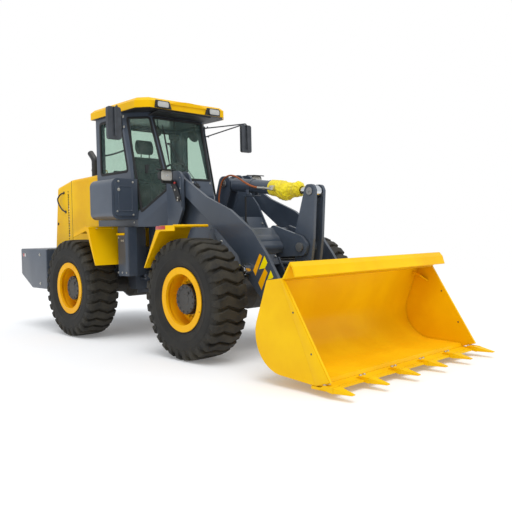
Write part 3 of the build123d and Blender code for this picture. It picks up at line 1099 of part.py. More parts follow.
LAMP_SPREAD = 430                # half distance between the roof lamps
with BuildPart() as roof_lamps:
    lamp_x = FRONT + ROOF_FRONT
    lamp_plane = Plane(origin=(lamp_x, 0, CAB_HEADER + 48), x_dir=(0, 1, 0), z_dir=(1, 0, 0))
    with BuildSketch(lamp_plane) as lamp_faces:
        with Locations((-LAMP_SPREAD, 0), (LAMP_SPREAD, 0)):
            RectangleRounded(180, 80, 24)
    extrude(lamp_faces.sketch, amount=34)
    with BuildSketch(lamp_plane.offset(26)) as lamp_lenses:
        with Locations((-LAMP_SPREAD, 0), (LAMP_SPREAD, 0)):
            RectangleRounded(150, 54, 18)
    extrude(lamp_lenses.sketch, amount=10, mode=Mode.SUBTRACT)
save(roof_lamps.part, "roof_lamps")

LAMP_AT = (FRONT - 735, 750, 2105)
bracket_y = tower_outer_face + 20
with BuildPart() as work_lamps:
    lamp_plane = Plane(origin=LAMP_AT, x_dir=(0, 1, 0), z_dir=(1, 0, 0))
    with BuildSketch(lamp_plane) as lamp_face:
        RectangleRounded(180, 140, 40)
    extrude(lamp_face.sketch, amount=-90, taper=18)
    with BuildSketch(lamp_plane.offset(8)) as lens:
        RectangleRounded(160, 120, 34)
    extrude(lens.sketch, amount=-8)
    box((LAMP_AT[0] - 60, LAMP_AT[0] + 60), (LAMP_AT[1] - 95, LAMP_AT[1] + 95), (LAMP_AT[2] + 68, LAMP_AT[2] + 74))
    box((LAMP_AT[0] - 60, LAMP_AT[0] - 30), (bracket_y, LAMP_AT[1] + 30), (LAMP_AT[2] - 90, LAMP_AT[2] - 55))
    slab([(-75, -60, 0), (-15, -60, 0), (110, -290, 20), (50, -290, 20)], bracket_y, bracket_y + 8,
         (LAMP_AT[0], LAMP_AT[2]))
    round_y((LAMP_AT[0] + 78, LAMP_AT[2] - 268), 18, tower_outer_face + SEAT, bracket_y)
    mirror(about=Plane.XZ)
save(work_lamps.part, "work_lamps")
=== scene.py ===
"""Dress of the wheel loader: finishes, small pieces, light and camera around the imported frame.

The frame is in metres: +X forward, +Y to the machine's left, +Z up, ground at Z = 0.
"""
from __future__ import annotations

import logging
import math
import random
from dataclasses import dataclass
from enum import Enum
from typing import Sequence

import bmesh
import bpy
from mathutils import Matrix, Vector, noise


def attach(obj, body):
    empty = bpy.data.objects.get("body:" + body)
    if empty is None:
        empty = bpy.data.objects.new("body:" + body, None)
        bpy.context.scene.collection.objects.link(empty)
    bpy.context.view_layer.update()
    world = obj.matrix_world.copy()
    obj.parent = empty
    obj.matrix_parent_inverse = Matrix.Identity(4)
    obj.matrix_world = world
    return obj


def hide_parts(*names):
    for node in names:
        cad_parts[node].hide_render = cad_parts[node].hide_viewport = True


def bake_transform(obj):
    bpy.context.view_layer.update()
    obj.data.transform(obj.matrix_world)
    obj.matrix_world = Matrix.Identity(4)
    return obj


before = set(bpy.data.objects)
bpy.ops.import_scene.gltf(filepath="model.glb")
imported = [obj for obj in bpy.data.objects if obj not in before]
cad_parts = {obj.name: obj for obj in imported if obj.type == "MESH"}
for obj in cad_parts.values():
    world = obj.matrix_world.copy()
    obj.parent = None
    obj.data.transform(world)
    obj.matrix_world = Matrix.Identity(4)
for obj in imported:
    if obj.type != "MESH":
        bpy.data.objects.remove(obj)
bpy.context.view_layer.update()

logging.basicConfig(level=logging.INFO, format="%(message)s")
log = logging.getLogger("loader")

Point = tuple[float, float, float]
Flat = tuple[float, float]
Colour = tuple[float, float, float]

SIDES = (("left", 1), ("right", -1))
AHEAD = (1, 0, 0)
LEFT = (0, 1, 0)
UP = (0, 0, 1)


def shade(red: int, green: int, blue: int) -> Colour:
    """Turn a colour of 0 to 255 a channel into the linear values that a shader takes."""
    return tuple(((c / 255 + 0.055) / 1.055) ** 2.4 if c > 10 else c / 255 / 12.92
                 for c in (red, green, blue))


def flank(side: int, inner: float, outer: float) -> tuple[float, float]:
    """Give a span across the machine, its low end first, on the side that the sign says."""
    low, high = sorted((side * inner, side * outer))
    return low, high


def full_turn(count: int) -> list[float]:
    """Give evenly spaced angles of a whole turn."""
    return [2 * math.pi * i / count for i in range(count)]


# ---------------------------------------------------------------- shader trees
class Wire:
    """A socket on its way through a shader tree, with arithmetic as Python operators."""

    def __init__(self, bench: "Bench", socket: bpy.types.NodeSocket) -> None:
        """Keep the tree and the socket."""
        self.bench = bench
        self.socket = socket

    def _math(self, operation: str, *values: "Wire | float", clamp: bool = False) -> "Wire":
        """Add a Math node.

        Args:
            operation: the node's operation.
            values: its inputs in order.
            clamp: keep the result between 0 and 1.

        Returns:
            The node's value.
        """
        settings = {"operation": operation, "use_clamp": clamp}
        return self.bench.node("ShaderNodeMath", settings, dict(enumerate(values)))

    def __add__(self, other: "Wire | float") -> "Wire":
        """Add."""
        return self._math("ADD", self, other)

    __radd__ = __add__

    def __sub__(self, other: "Wire | float") -> "Wire":
        """Subtract."""
        return self._math("SUBTRACT", self, other)

    def __rsub__(self, other: float) -> "Wire":
        """Subtract from a number."""
        return self._math("SUBTRACT", other, self)

    def __mul__(self, other: "Wire | float") -> "Wire":
        """Multiply."""
        return self._math("MULTIPLY", self, other)

    __rmul__ = __mul__

    def __truediv__(self, other: "Wire | float") -> "Wire":
        """Divide."""
        return self._math("DIVIDE", self, other)

    def __pow__(self, other: "Wire | float") -> "Wire":
        """Raise to a power."""
        return self._math("POWER", self, other)

    def __gt__(self, other: "Wire | float") -> "Wire":
        """Give 1 where greater."""
        return self._math("GREATER_THAN", self, other)

    def __lt__(self, other: "Wire | float") -> "Wire":
        """Give 1 where less."""
        return self._math("LESS_THAN", self, other)

    def __abs__(self) -> "Wire":
        """Drop the sign."""
        return self._math("ABSOLUTE", self)

    def clamp(self) -> "Wire":
        """Keep between 0 and 1."""
        return self._math("ADD", self, 0.0, clamp=True)

    def wave(self, pitch: float) -> "Wire":
        """Give a sine from 0 to 1 along this value, one period in each pitch."""
        return self._math("SINE", self * (2 * math.pi / pitch)) * 0.5 + 0.5

    def ramp(self, low: float, high: float) -> "Wire":
        """Rise smoothly from 0 at low to 1 at high, or fall where high is the lesser."""
        settings = {"interpolation_type": "SMOOTHSTEP"}
        if low < high:
            return self.bench.node("ShaderNodeMapRange", settings,
                                   {"Value": self, "From Min": low, "From Max": high})
        return 1 - self.bench.node("ShaderNodeMapRange", settings,
                                   {"Value": self, "From Min": high, "From Max": low})


class Bench:
    """The shader tree of one finish, with its Principled shader as the end."""

    def __init__(self, name: str) -> None:
        """Start a material with an empty tree.

        Args:
            name: the material's name.
        """
        self.material = bpy.data.materials.new(name)
        self.material.use_nodes = True
        self.tree = self.material.node_tree
        self.shader = self.tree.nodes["Principled BSDF"]
        coordinates = self.tree.nodes.new("ShaderNodeTexCoord")
        self.place = Wire(self, coordinates.outputs["Object"])
        axes = self.tree.nodes.new("ShaderNodeSeparateXYZ")
        self.tree.links.new(coordinates.outputs["Object"], axes.inputs[0])
        self.x, self.y, self.z = (Wire(self, axes.outputs[i]) for i in range(3))

    def node(self, kind: str, settings: dict | None = None, values: dict | None = None,
             out: int | str = 0) -> Wire:
        """Add a node.

        Args:
            kind: the node's type.
            settings: its settings, set before its sockets.
            values: numbers, colours or wires for its inputs, by name or index.
            out: which output to give back.

        Returns:
            The chosen output.
        """
        made = self.tree.nodes.new(kind)
        for key, value in (settings or {}).items():
            setattr(made, key, value)
        for key, value in (values or {}).items():
            self.feed(made.inputs[key], value)
        return Wire(self, made.outputs[out])

    def feed(self, socket: bpy.types.NodeSocket, value: "Wire | float | Sequence[float]") -> None:
        """Link or set one input."""
        if isinstance(value, Wire):
            self.tree.links.new(value.socket, socket)
        elif isinstance(value, (tuple, list)) and len(socket.default_value) > len(value):
            socket.default_value = (*value, 1.0)
        else:
            socket.default_value = value

    def noise(self, scale: float, detail: float = 3.0, roughness: float = 0.55,
              stretch: Point = (1, 1, 1)) -> Wire:
        """Give a cloud of values about one half.

        Args:
            scale: clouds per metre.
            detail: how many finer octaves it has.
            roughness: the weight of the finer octaves.
            stretch: factors on the place along each axis.

        Returns:
            The value.
        """
        where = self.place
        if stretch != (1, 1, 1):
            where = self.node("ShaderNodeVectorMath", {"operation": "MULTIPLY"}, {0: self.place, 1: stretch})
        values = {"Vector": where, "Scale": scale, "Detail": detail, "Roughness": roughness}
        return self.node("ShaderNodeTexNoise", None, values)

    def blend(self, factor: Wire | float, below: Wire | Colour, above: Wire | Colour) -> Wire:
        """Mix two colours.

        Args:
            factor: 0 for the first and 1 for the second.
            below: the first colour.
            above: the second colour.

        Returns:
            The mixed colour.
        """
        settings = {"data_type": "RGBA", "clamp_factor": True}
        return self.node("ShaderNodeMix", settings, {0: factor, 6: below, 7: above}, out=2)

    def crevice(self, reach: float) -> Wire:
        """Give 1 in corners closer than a reach and 0 in the open."""
        settings = {"samples": 6, "only_local": False}
        return 1 - self.node("ShaderNodeAmbientOcclusion", settings, {"Distance": reach}, out="AO")

    def bump(self, height: Wire, strength: float, depth: float, normal: Wire | None = None) -> Wire:
        """Turn a height into a normal.

        Args:
            height: the height, 0 to 1.
            strength: how much of it counts.
            depth: its range in metres.
            normal: a normal to start from.

        Returns:
            The normal.
        """
        values = {"Height": height, "Strength": strength, "Distance": depth}
        if normal is not None:
            values["Normal"] = normal
        return self.node("ShaderNodeBump", None, values)

    def soft_edge(self, radius: float) -> Wire:
        """Give a normal that rounds the edges by a radius."""
        return self.node("ShaderNodeBevel", {"samples": 4}, {"Radius": radius})

    def finish(self, **sockets: "Wire | float | Sequence[float]") -> bpy.types.Material:
        """Set the shader's sockets by their names, with _ for a space, and return the material."""
        for key, value in sockets.items():
            self.feed(self.shader.inputs[key.replace("_", " ")], value)
        return self.material


# ---------------------------------------------------------------- finishes
@dataclass(frozen=True)
class Paint:
    """Sprayed machine paint with orange peel, dust on what lies flat, scuffs and painted shade in corners."""

    name: str
    colour: Colour
    deep: Colour
    dust: Colour = shade(168, 158, 138)
    dusty: float = 0.25
    scuffed: float = 0.3
    roughness: float = 0.33
    coat: float = 0.35
    ior: float = 1.5
    hub_axle_x: float | None = None

    def material(self) -> bpy.types.Material:
        """Build the paint.

        Returns:
            The material.
        """
        bench = Bench(self.name)
        cloud = bench.noise(1.7, 4.0)
        fine = bench.noise(46.0, 4.0, 0.65)
        peel = bench.noise(620.0, 2.0)
        colour = bench.blend(cloud.ramp(0.32, 0.7), self.deep, self.colour)
        up = bench.node("ShaderNodeSeparateXYZ", None, {0: bench.node("ShaderNodeNewGeometry", out="Normal")},
                        out=2)
        low = bench.z.ramp(1.5, 0.1)
        film = (up.ramp(0.2, 0.95) * 0.35 + low * 0.3) * (fine * 1.3 + cloud - 0.55).clamp()
        scratch = bench.noise(34.0, 5.0, 0.75, (1.0, 0.16, 5.0)).ramp(0.66, 0.72) * cloud.ramp(0.45, 0.6)
        # painted shade: an ambient occlusion mask that darkens the paint in corners and crevices
        corner = bench.crevice(0.05).ramp(0.15, 0.9)
        colour = bench.blend(scratch * self.scuffed, colour,
                             tuple(min(1.0, c * 1.5 + 0.04) for c in self.colour))
        colour = bench.blend(film * (2.2 * self.dusty), colour, self.dust)
        # painted shade in corners, a dark tone of the paint, deeper on dustier paint
        colour = bench.blend(corner * (0.35 + 0.5 * self.dusty), colour, tuple(c * 0.35 for c in self.deep))
        rough = self.roughness + film * 0.4 + scratch * 0.2 + corner * 0.15
        if self.hub_axle_x is not None:
            colour, rough = self._hub(bench, colour, rough)
        height = peel * 0.25 + fine * 0.2 - scratch * 0.3
        normal = bench.bump(height, 0.35, 0.0006, bench.soft_edge(0.004))
        return bench.finish(Base_Color=colour, Roughness=rough, Normal=normal, Coat_Weight=self.coat,
                            Coat_Roughness=0.12, IOR=self.ior)

    def _hub(self, bench: Bench, colour: Wire, rough: Wire) -> tuple[Wire, Wire]:
        """Paint the hub near its axle dark.

        Args:
            bench: the tree.
            colour: the rim's colour.
            rough: the rim's roughness.

        Returns:
            The colour and the roughness with the hub in them.
        """
        ahead = bench.x - self.hub_axle_x
        above = bench.z - Wheel.radius
        reach = (ahead * ahead + above * above) ** 0.5
        hub = reach < 0.168
        grime = reach.ramp(0.30, 0.17) * bench.noise(30.0, 4.0).ramp(0.35, 0.7) * 0.6
        colour = bench.blend(grime, colour, shade(70, 52, 22))
        return bench.blend(hub, colour, shade(38, 39, 41)), rough + hub * 0.2


@dataclass(frozen=True)
class TyreRubber:
    """Black rubber with a film of dry dust, greyest on the tread and in the corners."""

    name: str = "rubber_tyre"

    def material(self) -> bpy.types.Material:
        """Build the rubber."""
        bench = Bench(self.name)
        cloud = bench.noise(6.0, 5.0, 0.6)
        fine = bench.noise(160.0, 3.0)
        out = abs(bench.y)
        tread = ((bench.x - Wheel.rear_x) ** 2.0 + (bench.z - Wheel.radius) ** 2.0) ** 0.5
        tread_front = ((bench.x - Wheel.front_x) ** 2.0 + (bench.z - Wheel.radius) ** 2.0) ** 0.5
        reach = bench.node("ShaderNodeMath", {"operation": "MINIMUM"}, {0: tread, 1: tread_front})
        band = reach.ramp(0.52, 0.66)
        colour = bench.blend(cloud.ramp(0.3, 0.75), shade(30, 29, 27), shade(46, 44, 39))
        dust = (band * 0.55 + bench.crevice(0.04) * 0.5) * cloud.ramp(0.3, 0.62)
        colour = bench.blend(dust * 0.4, colour, shade(88, 80, 62))
        ring = (reach * 260.0).wave(6.3).ramp(0.85, 1.0) * reach.ramp(0.5, 0.48) * out.ramp(0.9, 1.0)
        normal = bench.bump(fine * 0.5 + cloud * 0.3 + ring * 0.5, 0.5, 0.0012, bench.soft_edge(0.004))
        return bench.finish(Base_Color=colour, Roughness=cloud * 0.2 + 0.62, Normal=normal,
                            Specular_IOR_Level=0.35)


@dataclass(frozen=True)
class Moulded:
    """Moulded plastic or rubber with a fine grain and painted shade in its corners."""

    name: str
    colour: Colour
    roughness: float = 0.55
    grain: float = 900.0
    depth: float = 0.0003

    def material(self) -> bpy.types.Material:
        """Build the plastic."""
        bench = Bench(self.name)
        cloud = bench.noise(9.0, 3.0)
        fine = bench.noise(self.grain, 2.0)
        colour = bench.blend(cloud.ramp(0.3, 0.7), tuple(c * 0.8 for c in self.colour),
                             tuple(min(1.0, c * 1.25) for c in self.colour))
        # painted shade: the plastic darkens in corners, from an ambient occlusion mask
        colour = bench.blend(bench.crevice(0.02) * 0.3, colour, tuple(c * 0.4 for c in self.colour))
        normal = bench.bump(fine, 0.5, self.depth, bench.soft_edge(0.002))
        return bench.finish(Base_Color=colour, Roughness=cloud * 0.15 + (self.roughness - 0.07),
                            Normal=normal)


@dataclass(frozen=True)
class Metal:
    """Bare or plated metal with turning marks and a little tarnish."""

    name: str
    colour: Colour
    roughness: float = 0.25
    tarnish: Colour = shade(96, 84, 66)
    worn: float = 0.3

    def material(self) -> bpy.types.Material:
        """Build the metal."""
        bench = Bench(self.name)
        cloud = bench.noise(14.0, 5.0, 0.65)
        marks = bench.noise(60.0, 2.0, 0.5, (1.0, 14.0, 14.0))
        spots = cloud.ramp(0.52, 0.72) * self.worn
        colour = bench.blend(spots, self.colour, self.tarnish)
        rough = self.roughness + marks * 0.12 + spots * 0.5
        normal = bench.bump(marks, 0.25, 0.0003, bench.soft_edge(0.0015))
        return bench.finish(Base_Color=colour, Roughness=rough, Normal=normal, Metallic=1.0 - spots * 0.5)


@dataclass(frozen=True)
class TintedGlass:
    """Greenish safety glass with a faint film of dust."""

    name: str = "glass_green"
    tint: Colour = shade(222, 236, 228)

    def material(self) -> bpy.types.Material:
        """Build the glass."""
        bench = Bench(self.name)
        film = bench.noise(5.0, 4.0, 0.6).ramp(0.4, 0.8)
        clear = bench.node("ShaderNodeBsdfTransparent", None, {"Color": self.tint})
        bench.finish(Base_Color=bench.blend(film, shade(150, 176, 170), shade(190, 200, 192)),
                     Roughness=film * 0.12 + 0.02, Coat_Weight=0.3, IOR=1.5, Alpha=film * 0.08 + 0.16)
        bench.shader.inputs["Specular IOR Level"].default_value = 0.8
        mixed = bench.node("ShaderNodeMixShader", None,
                           {0: 0.62, 1: Wire(bench, bench.shader.outputs[0]), 2: clear})
        bench.feed(bench.tree.nodes["Material Output"].inputs["Surface"], mixed)
        return bench.material


@dataclass(frozen=True)
class Cloth:
    """Woven cloth in a crossed weave, with painted shade in its corners."""

    name: str
    colour: Colour
    shadow: Colour
    thread: float = 0.0016
    sheen: float = 0.3

    def material(self) -> bpy.types.Material:
        """Build the cloth."""
        bench = Bench(self.name)
        cloud = bench.noise(11.0, 5.0, 0.6)
        weave = (bench.x + bench.z).wave(self.thread) * (bench.y + bench.z * 0.5).wave(self.thread)
        colour = bench.blend(cloud.ramp(0.3, 0.72), self.shadow, self.colour)
        # painted shade: the cloth darkens in corners and folds, from an ambient occlusion mask
        colour = bench.blend(bench.crevice(0.03).ramp(0.2, 1.0) * 0.7, colour,
                             tuple(c * 0.4 for c in self.shadow))
        normal = bench.bump(weave * 0.4 + cloud, 0.6, 0.0015)
        return bench.finish(Base_Color=colour, Roughness=cloud * 0.1 + 0.72, Normal=normal,
                            Sheen_Weight=self.sheen)


@dataclass(frozen=True)
class Lens:
    """Ribbed clear or coloured lamp plastic."""

    name: str
    colour: Colour
    ribs: float = 0.012

    def material(self) -> bpy.types.Material:
        """Build the lens."""
        bench = Bench(self.name)
        ribs = bench.y.wave(self.ribs) * bench.z.wave(self.ribs)
        colour = bench.blend(ribs * 0.5 + bench.noise(40.0) * 0.3, tuple(c * 0.45 for c in self.colour),
                             self.colour)
        normal = bench.bump(ribs, 0.7, 0.002)
        return bench.finish(Base_Color=colour, Roughness=0.12 + ribs * 0.08, Normal=normal, Coat_Weight=0.8,
                            Coat_Roughness=0.04)


def yellow(name: str, colour: Colour, deep: Colour, dusty: float = 0.02, coat: float = 0.03,
           ior: float = 1.22, **others: float) -> tuple[str, Paint]:
    """Pair the yellow slot with a clean paint of low gloss.

    Args:
        name: the material's name.
        colour: its colour.
        deep: its darker clouds.
        dusty: how much dust lies on it.
        coat: its clear coat.
        ior: its index of refraction.
        others: the paint's other fields.

    Returns:
        The slot and the paint.
    """
    return "yellow_paint", Paint(name, colour, deep, dusty=dusty, coat=coat, ior=ior, **others)


class Finish(Enum):
    """The finishes of the machine: record slot, then how it is made."""

    YELLOW = yellow("paint_yellow", shade(248, 196, 0), shade(236, 178, 0), scuffed=0.08)
    BUCKET = yellow("bucket_yellow", shade(250, 200, 0), shade(240, 184, 0), scuffed=0.2)
    RIM_FRONT = yellow("rim_front_yellow", shade(252, 190, 0), shade(240, 172, 0), dusty=0.03,
                       hub_axle_x=0.92)
    RIM_REAR = yellow("rim_rear_yellow", shade(252, 190, 0), shade(240, 172, 0), dusty=0.03, hub_axle_x=-1.68)
    GREY = ("grey_paint", Paint("paint_grey", shade(70, 80, 94), shade(58, 68, 82), dusty=0.2, roughness=0.38,
                                coat=0.25))
    BLACK = ("hub_black", Paint("paint_black", shade(42, 43, 45), shade(32, 33, 35), roughness=0.5, coat=0.1))
    CAST = ("cast_grey", Paint("iron_cast", shade(74, 82, 90), shade(58, 64, 72), roughness=0.6, coat=0.0))
    TYRE = ("tyre_rubber", TyreRubber())
    PLASTIC = ("black_plastic", Moulded("plastic_black", shade(34, 35, 37)))
    MIRROR = ("grey_plastic", Moulded("plastic_grey", shade(58, 62, 68), 0.45, 500.0, 0.0005))
    SEAL = ("black_plastic", Moulded("seal_rubber", shade(22, 23, 24), 0.65))
    HOSE = ("black_plastic", Moulded("hose_rubber", shade(30, 30, 31), 0.5, 260.0, 0.0008))
    BRAID = ("black_plastic", Moulded("hose_sleeve", shade(150, 78, 30), 0.6, 300.0, 0.0008))
    STEEL = ("edge_steel", Metal("steel_worn", shade(150, 150, 148), 0.38, worn=0.7))
    ZINC = ("rod_chrome", Metal("bolt_zinc", shade(200, 198, 190), 0.32))
    CHROME = ("rod_chrome", Metal("chrome_rod", shade(215, 218, 220), 0.1, worn=0.1))
    GLASS = ("glass_tint", TintedGlass())
    LAMP = ("lamp_clear", Lens("lens_clear", shade(236, 236, 230)))
    RED = ("lamp_clear", Lens("reflector_red", shade(214, 22, 16), 0.006))
    TURN = ("lamp_clear", Lens("indicator_amber", shade(240, 120, 8), 0.006))
    AMBER = yellow("stripe_amber", shade(255, 186, 0), shade(250, 176, 0), coat=0.05, ior=1.3)
    LEMON = yellow("stripe_lemon", shade(255, 236, 0), shade(250, 226, 0), coat=0.05, ior=1.3)
    SEAT = ("seat_fabric", Cloth("fabric_seat", shade(58, 60, 62), shade(40, 42, 44)))
    WRAP = ("wrap_cloth", Cloth("cloth_wrap", shade(246, 228, 10), shade(222, 196, 4), 0.0022))

    @property
    def slot(self) -> str:
        """Give the record's material slot."""
        return self.value[0]

    def material(self) -> bpy.types.Material:
        """Give the material, built on its first use."""
        made = bpy.data.materials.get(self.value[1].name)
        return made or self.value[1].material()


# ---------------------------------------------------------------- forms
def smooth_path(points: Sequence[Point], order: int = 3, per_run: int = 6) -> list[Vector]:
    """Round a route with a spline.

    Args:
        points: the route's control points.
        order: the spline's order.
        per_run: points in each run.

    Returns:
        Points along the spline.
    """
    curve = bpy.data.curves.new("route", "CURVE")
    curve.dimensions = "3D"
    curve.resolution_u = per_run
    spline = curve.splines.new("NURBS")
    spline.points.add(len(points) - 1)
    for knot, point in zip(spline.points, points):
        knot.co = (*point, 1.0)
    spline.order_u = order
    spline.use_endpoint_u = True
    holder = bpy.data.objects.new("route", curve)
    mesh = bpy.data.meshes.new_from_object(holder)
    path = [vertex.co.copy() for vertex in mesh.vertices]
    bpy.data.objects.remove(holder)
    bpy.data.curves.remove(curve)
    bpy.data.meshes.remove(mesh)
    return path


def as_point(vector: Vector) -> Point:
    """Turn a vector into a plain point."""
    return (vector[0], vector[1], vector[2])


def rounded_box(centre: Point, across: Point, up: Point, width: float, height: float,
                radius: float) -> list[Vector]:
    """Draw a rectangle with rounded corners.

    Args:
        centre: its middle.
        across: direction of its width.
        up: direction of its height.
        width: its whole width.
        height: its whole height.
        radius: the corners' radius.

    Returns:
        Its outline.
    """
    ring = []
    for quarter, (sx, sy) in enumerate(((1, 1), (-1, 1), (-1, -1), (1, -1))):
        for i in range(6):
            turn = (quarter + i / 5) * math.pi / 2
            x = sx * (width / 2 - radius) + radius * math.cos(turn)
            y = sy * (height / 2 - radius) + radius * math.sin(turn)
            ring.append(Vector(centre) + Vector(across) * x + Vector(up) * y)
    return ring


def rounded_loop(corners: Sequence[Vector], out: Vector, shift: float, radius: float,
                 lift: float) -> list[Vector]:
    """Round the corners of a loop and move its sides.

    Args:
        corners: the loop's corners in order.
        out: direction of the surface that it lies on.
        shift: how far its sides move outwards.
        radius: the corners' radius.
        lift: how far it stands off the surface.

    Returns:
        The loop's points.
    """
    middle = sum(corners, Vector()) / len(corners)
    loop = []
    for before, corner, after in zip([corners[-1], *corners], corners, [*corners[1:], corners[0]]):
        first, second = (corner - before).normalized(), (after - corner).normalized()
        away = [out.cross(run).normalized() for run in (first, second)]
        away = [side if side.dot(corner - middle) > 0 else -side for side in away]
        tip = corner + (away[0] + away[1]) * shift / (1 + away[0].dot(away[1])) + out * lift
        reach = max(0.004, radius + shift)
        for i in range(7):
            t = i / 6
            loop.append(tip - first * reach * (1 - t) ** 2 + second * reach * t ** 2)
    return loop


class Form:
    """A mesh in the making, in the frame's metres."""

    def __init__(self) -> None:
        """Start empty."""
        self.mesh = bmesh.new()

    def loft(self, rings: Sequence[Sequence[Vector]], closed: bool = True, caps: bool = True,
             around: bool = False) -> "Form":
        """Join rings of points into a skin.

        Args:
            rings: rings with equal numbers of points.
            closed: join each ring's last point to its first.
            caps: close the first and the last ring.
            around: join the last ring to the first.

        Returns:
            The form.
        """
        rows = [[self.mesh.verts.new(point) for point in ring] for ring in rings]
        pairs = list(zip(rows, rows[1:])) + ([(rows[-1], rows[0])] if around else [])
        for near, far in pairs:
            count = len(near)
            for i in range(count if closed else count - 1):
                j = (i + 1) % count
                self.mesh.faces.new((near[i], near[j], far[j], far[i]))
        if caps and not around:
            self.mesh.faces.new(list(reversed(rows[0])))
            self.mesh.faces.new(rows[-1])
        return self

    def prism(self, outline: Sequence[Point], depth: Point, bevel: float = 0.0, segments: int = 2) -> "Form":
        """Extrude an outline.

        Args:
            outline: its corners in space.
            depth: the extrusion.
            bevel: the radius on its edges.
            segments: steps round each edge.

        Returns:
            The form.
        """
        before = set(self.mesh.verts)
        shift = Vector(depth)
        self.loft([[Vector(p) for p in outline], [Vector(p) + shift for p in outline]])
        if bevel > 0:
            edges = {edge for vertex in set(self.mesh.verts) - before for edge in vertex.link_edges}
            bmesh.ops.bevel(self.mesh, geom=list(edges), offset=bevel, segments=segments, profile=0.5,
                            affect="EDGES", clamp_overlap=True)
        return self

    def plate(self, outline: Sequence[Flat], y_low: float, y_high: float, bevel: float = 0.002) -> "Form":
        """Extrude an outline of (x, z) between two y."""
        return self.prism([(x, y_low, z) for x, z in outline], (0, y_high - y_low, 0), bevel)

    def block(self, low: Point, high: Point, bevel: float = 0.003, segments: int = 2) -> "Form":
        """Add a box between two corners, with rounded edges."""
        corners = [(low[0], low[1], low[2]), (high[0], low[1], low[2]), (high[0], high[1], low[2]),
                   (low[0], high[1], low[2])]
        return self.prism(corners, (0, 0, high[2] - low[2]), bevel, segments)

    def lathe(self, profile: Sequence[Flat], start: Point, axis: Point, steps: int = 32,
              caps: bool = True) -> "Form":
        """Turn a profile about an axis.

        Args:
            profile: (distance along the axis, radius) pairs.
            start: a point on the axis.
            axis: its direction.
            steps: facets in the turn.
            caps: close both ends.

        Returns:
            The form.
        """
        along = Vector(axis).normalized()
        side = along.orthogonal().normalized()
        other = along.cross(side)
        turns = full_turn(steps)
        rings = [[Vector(start) + along * d + (side * math.cos(t) + other * math.sin(t)) * r for t in turns]
                 for d, r in profile]
        return self.loft(rings, caps=caps)

    def pad(self, at: Point, levels: Sequence[Sequence[float]], ahead: int = 1, caps: bool = True) -> "Form":
        """Add a round-cornered pad that faces along X.

        Args:
            at: its middle.
            levels: rings of distance out, width, height and corner radius.
            ahead: 1 where it faces the front and -1 where it faces the rear.
            caps: close its two ends.

        Returns:
            The form.
        """
        x, y, z = at
        return self.loft([rounded_box((x + ahead * d, y, z), LEFT, UP, w, h, r) for d, w, h, r in levels],
                         caps=caps)

    def pipe(self, path: Sequence[Point], radius: float | Sequence[float], steps: int = 10) -> "Form":
        """Sweep a circle along a path.

        Args:
            path: its points.
            radius: the circle's radius, or one for each point.
            steps: facets round it.

        Returns:
            The form.
        """
        points = [Vector(p) for p in path]
        radii = [radius] * len(points) if isinstance(radius, (int, float)) else list(radius)
        ahead = (points[1] - points[0]).normalized()
        side = ahead.orthogonal().normalized()
        rings = []
        for i, point in enumerate(points):
            before = points[max(i - 1, 0)]
            after = points[min(i + 1, len(points) - 1)]
            ahead = (after - before).normalized()
            side = (side - ahead * side.dot(ahead)).normalized()
            other = ahead.cross(side)
            rings.append([point + (side * math.cos(2 * math.pi * k / steps)
                                   + other * math.sin(2 * math.pi * k / steps))
                          * radii[i] for k in range(steps)])
        return self.loft(rings)

    def bolt(self, at: Point, axis: Point, size: float = 0.012, height: float = 0.008,
             washer: bool = True) -> "Form":
        """Add a hexagon head with its washer.

        Args:
            at: the centre of its seat.
            axis: the way it stands.
            size: the head's half width across corners.
            height: the head's height.
            washer: put a washer below it.

        Returns:
            The form.
        """
        lift = 0.0
        if washer:
            lift = height * 0.25
            self.lathe([(0, size * 1.35), (lift, size * 1.35)], at, axis, 18)
        head = [(lift, size), (height * 0.85, size), (height, size * 0.82)]
        return self.lathe(head, at, axis, 6)

    def gasket(self, corners: Sequence[Vector], width: float, proud: float, sunk: float, out: Point,
               radius: float) -> "Form":
        """Lay a seal round an opening.

        Args:
            corners: the opening's corners in order.
            width: the seal's width.
            proud: how far it stands off the skin.
            sunk: how deep it goes, as a negative height.
            out: direction of the skin.
            radius: the corners' radius.

        Returns:
            This form.
        """
        way = Vector(out).normalized()
        half = width / 2
        levels = ((half, sunk), (half, proud * 0.4), (half * 0.6, proud), (-half * 0.6, proud),
                  (-half, proud * 0.4), (-half, sunk))
        return self.loft([rounded_loop(corners, way, shift, radius, lift) for shift, lift in levels],
                         caps=False, around=True)

    def _make(self, name: str, finish: Finish, sharp: float) -> bpy.types.Object:
        """Turn the form into an object with its finish."""
        bmesh.ops.recalc_face_normals(self.mesh, faces=self.mesh.faces)
        mesh = bpy.data.meshes.new(name)
        self.mesh.to_mesh(mesh)
        self.mesh.free()
        mesh.polygons.foreach_set("use_smooth", [True] * len(mesh.polygons))
        mesh.set_sharp_from_angle(angle=math.radians(sharp))
        mesh.materials.append(finish.material())
        piece = bpy.data.objects.new(name, mesh)
        bpy.context.scene.collection.objects.link(piece)
        return piece

    def span(self, name: str, bodies: tuple[str, str], reach: tuple[Point, Point],
             finish: Finish) -> bpy.types.Object:
        """Turn the form into a piece between two bodies.

        Args:
            name: the piece's name.
            bodies: the two bodies that it runs between, named only in the log.
            reach: not used.
            finish: its finish.

        Returns:
            The piece.
        """
        piece = self._make(name, finish, 60.0)
        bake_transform(piece)
        log.info("%s from %s to %s: %d faces", name, *bodies, len(piece.data.polygons))
        return piece

    def place(self, name: str, body: str, finish: Finish, sharp: float = 32.0) -> bpy.types.Object:
        """Turn the form into a piece on a body.

        Args:
            name: the piece's name.
            body: the body that it rides on.
            finish: its finish.
            sharp: the angle in degrees from which an edge is left sharp.

        Returns:
            The piece.
        """
        piece = self._make(name, finish, sharp)
        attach(piece, body)
        log.info("%s on %s: %d faces", name, body, len(piece.data.polygons))
        return piece


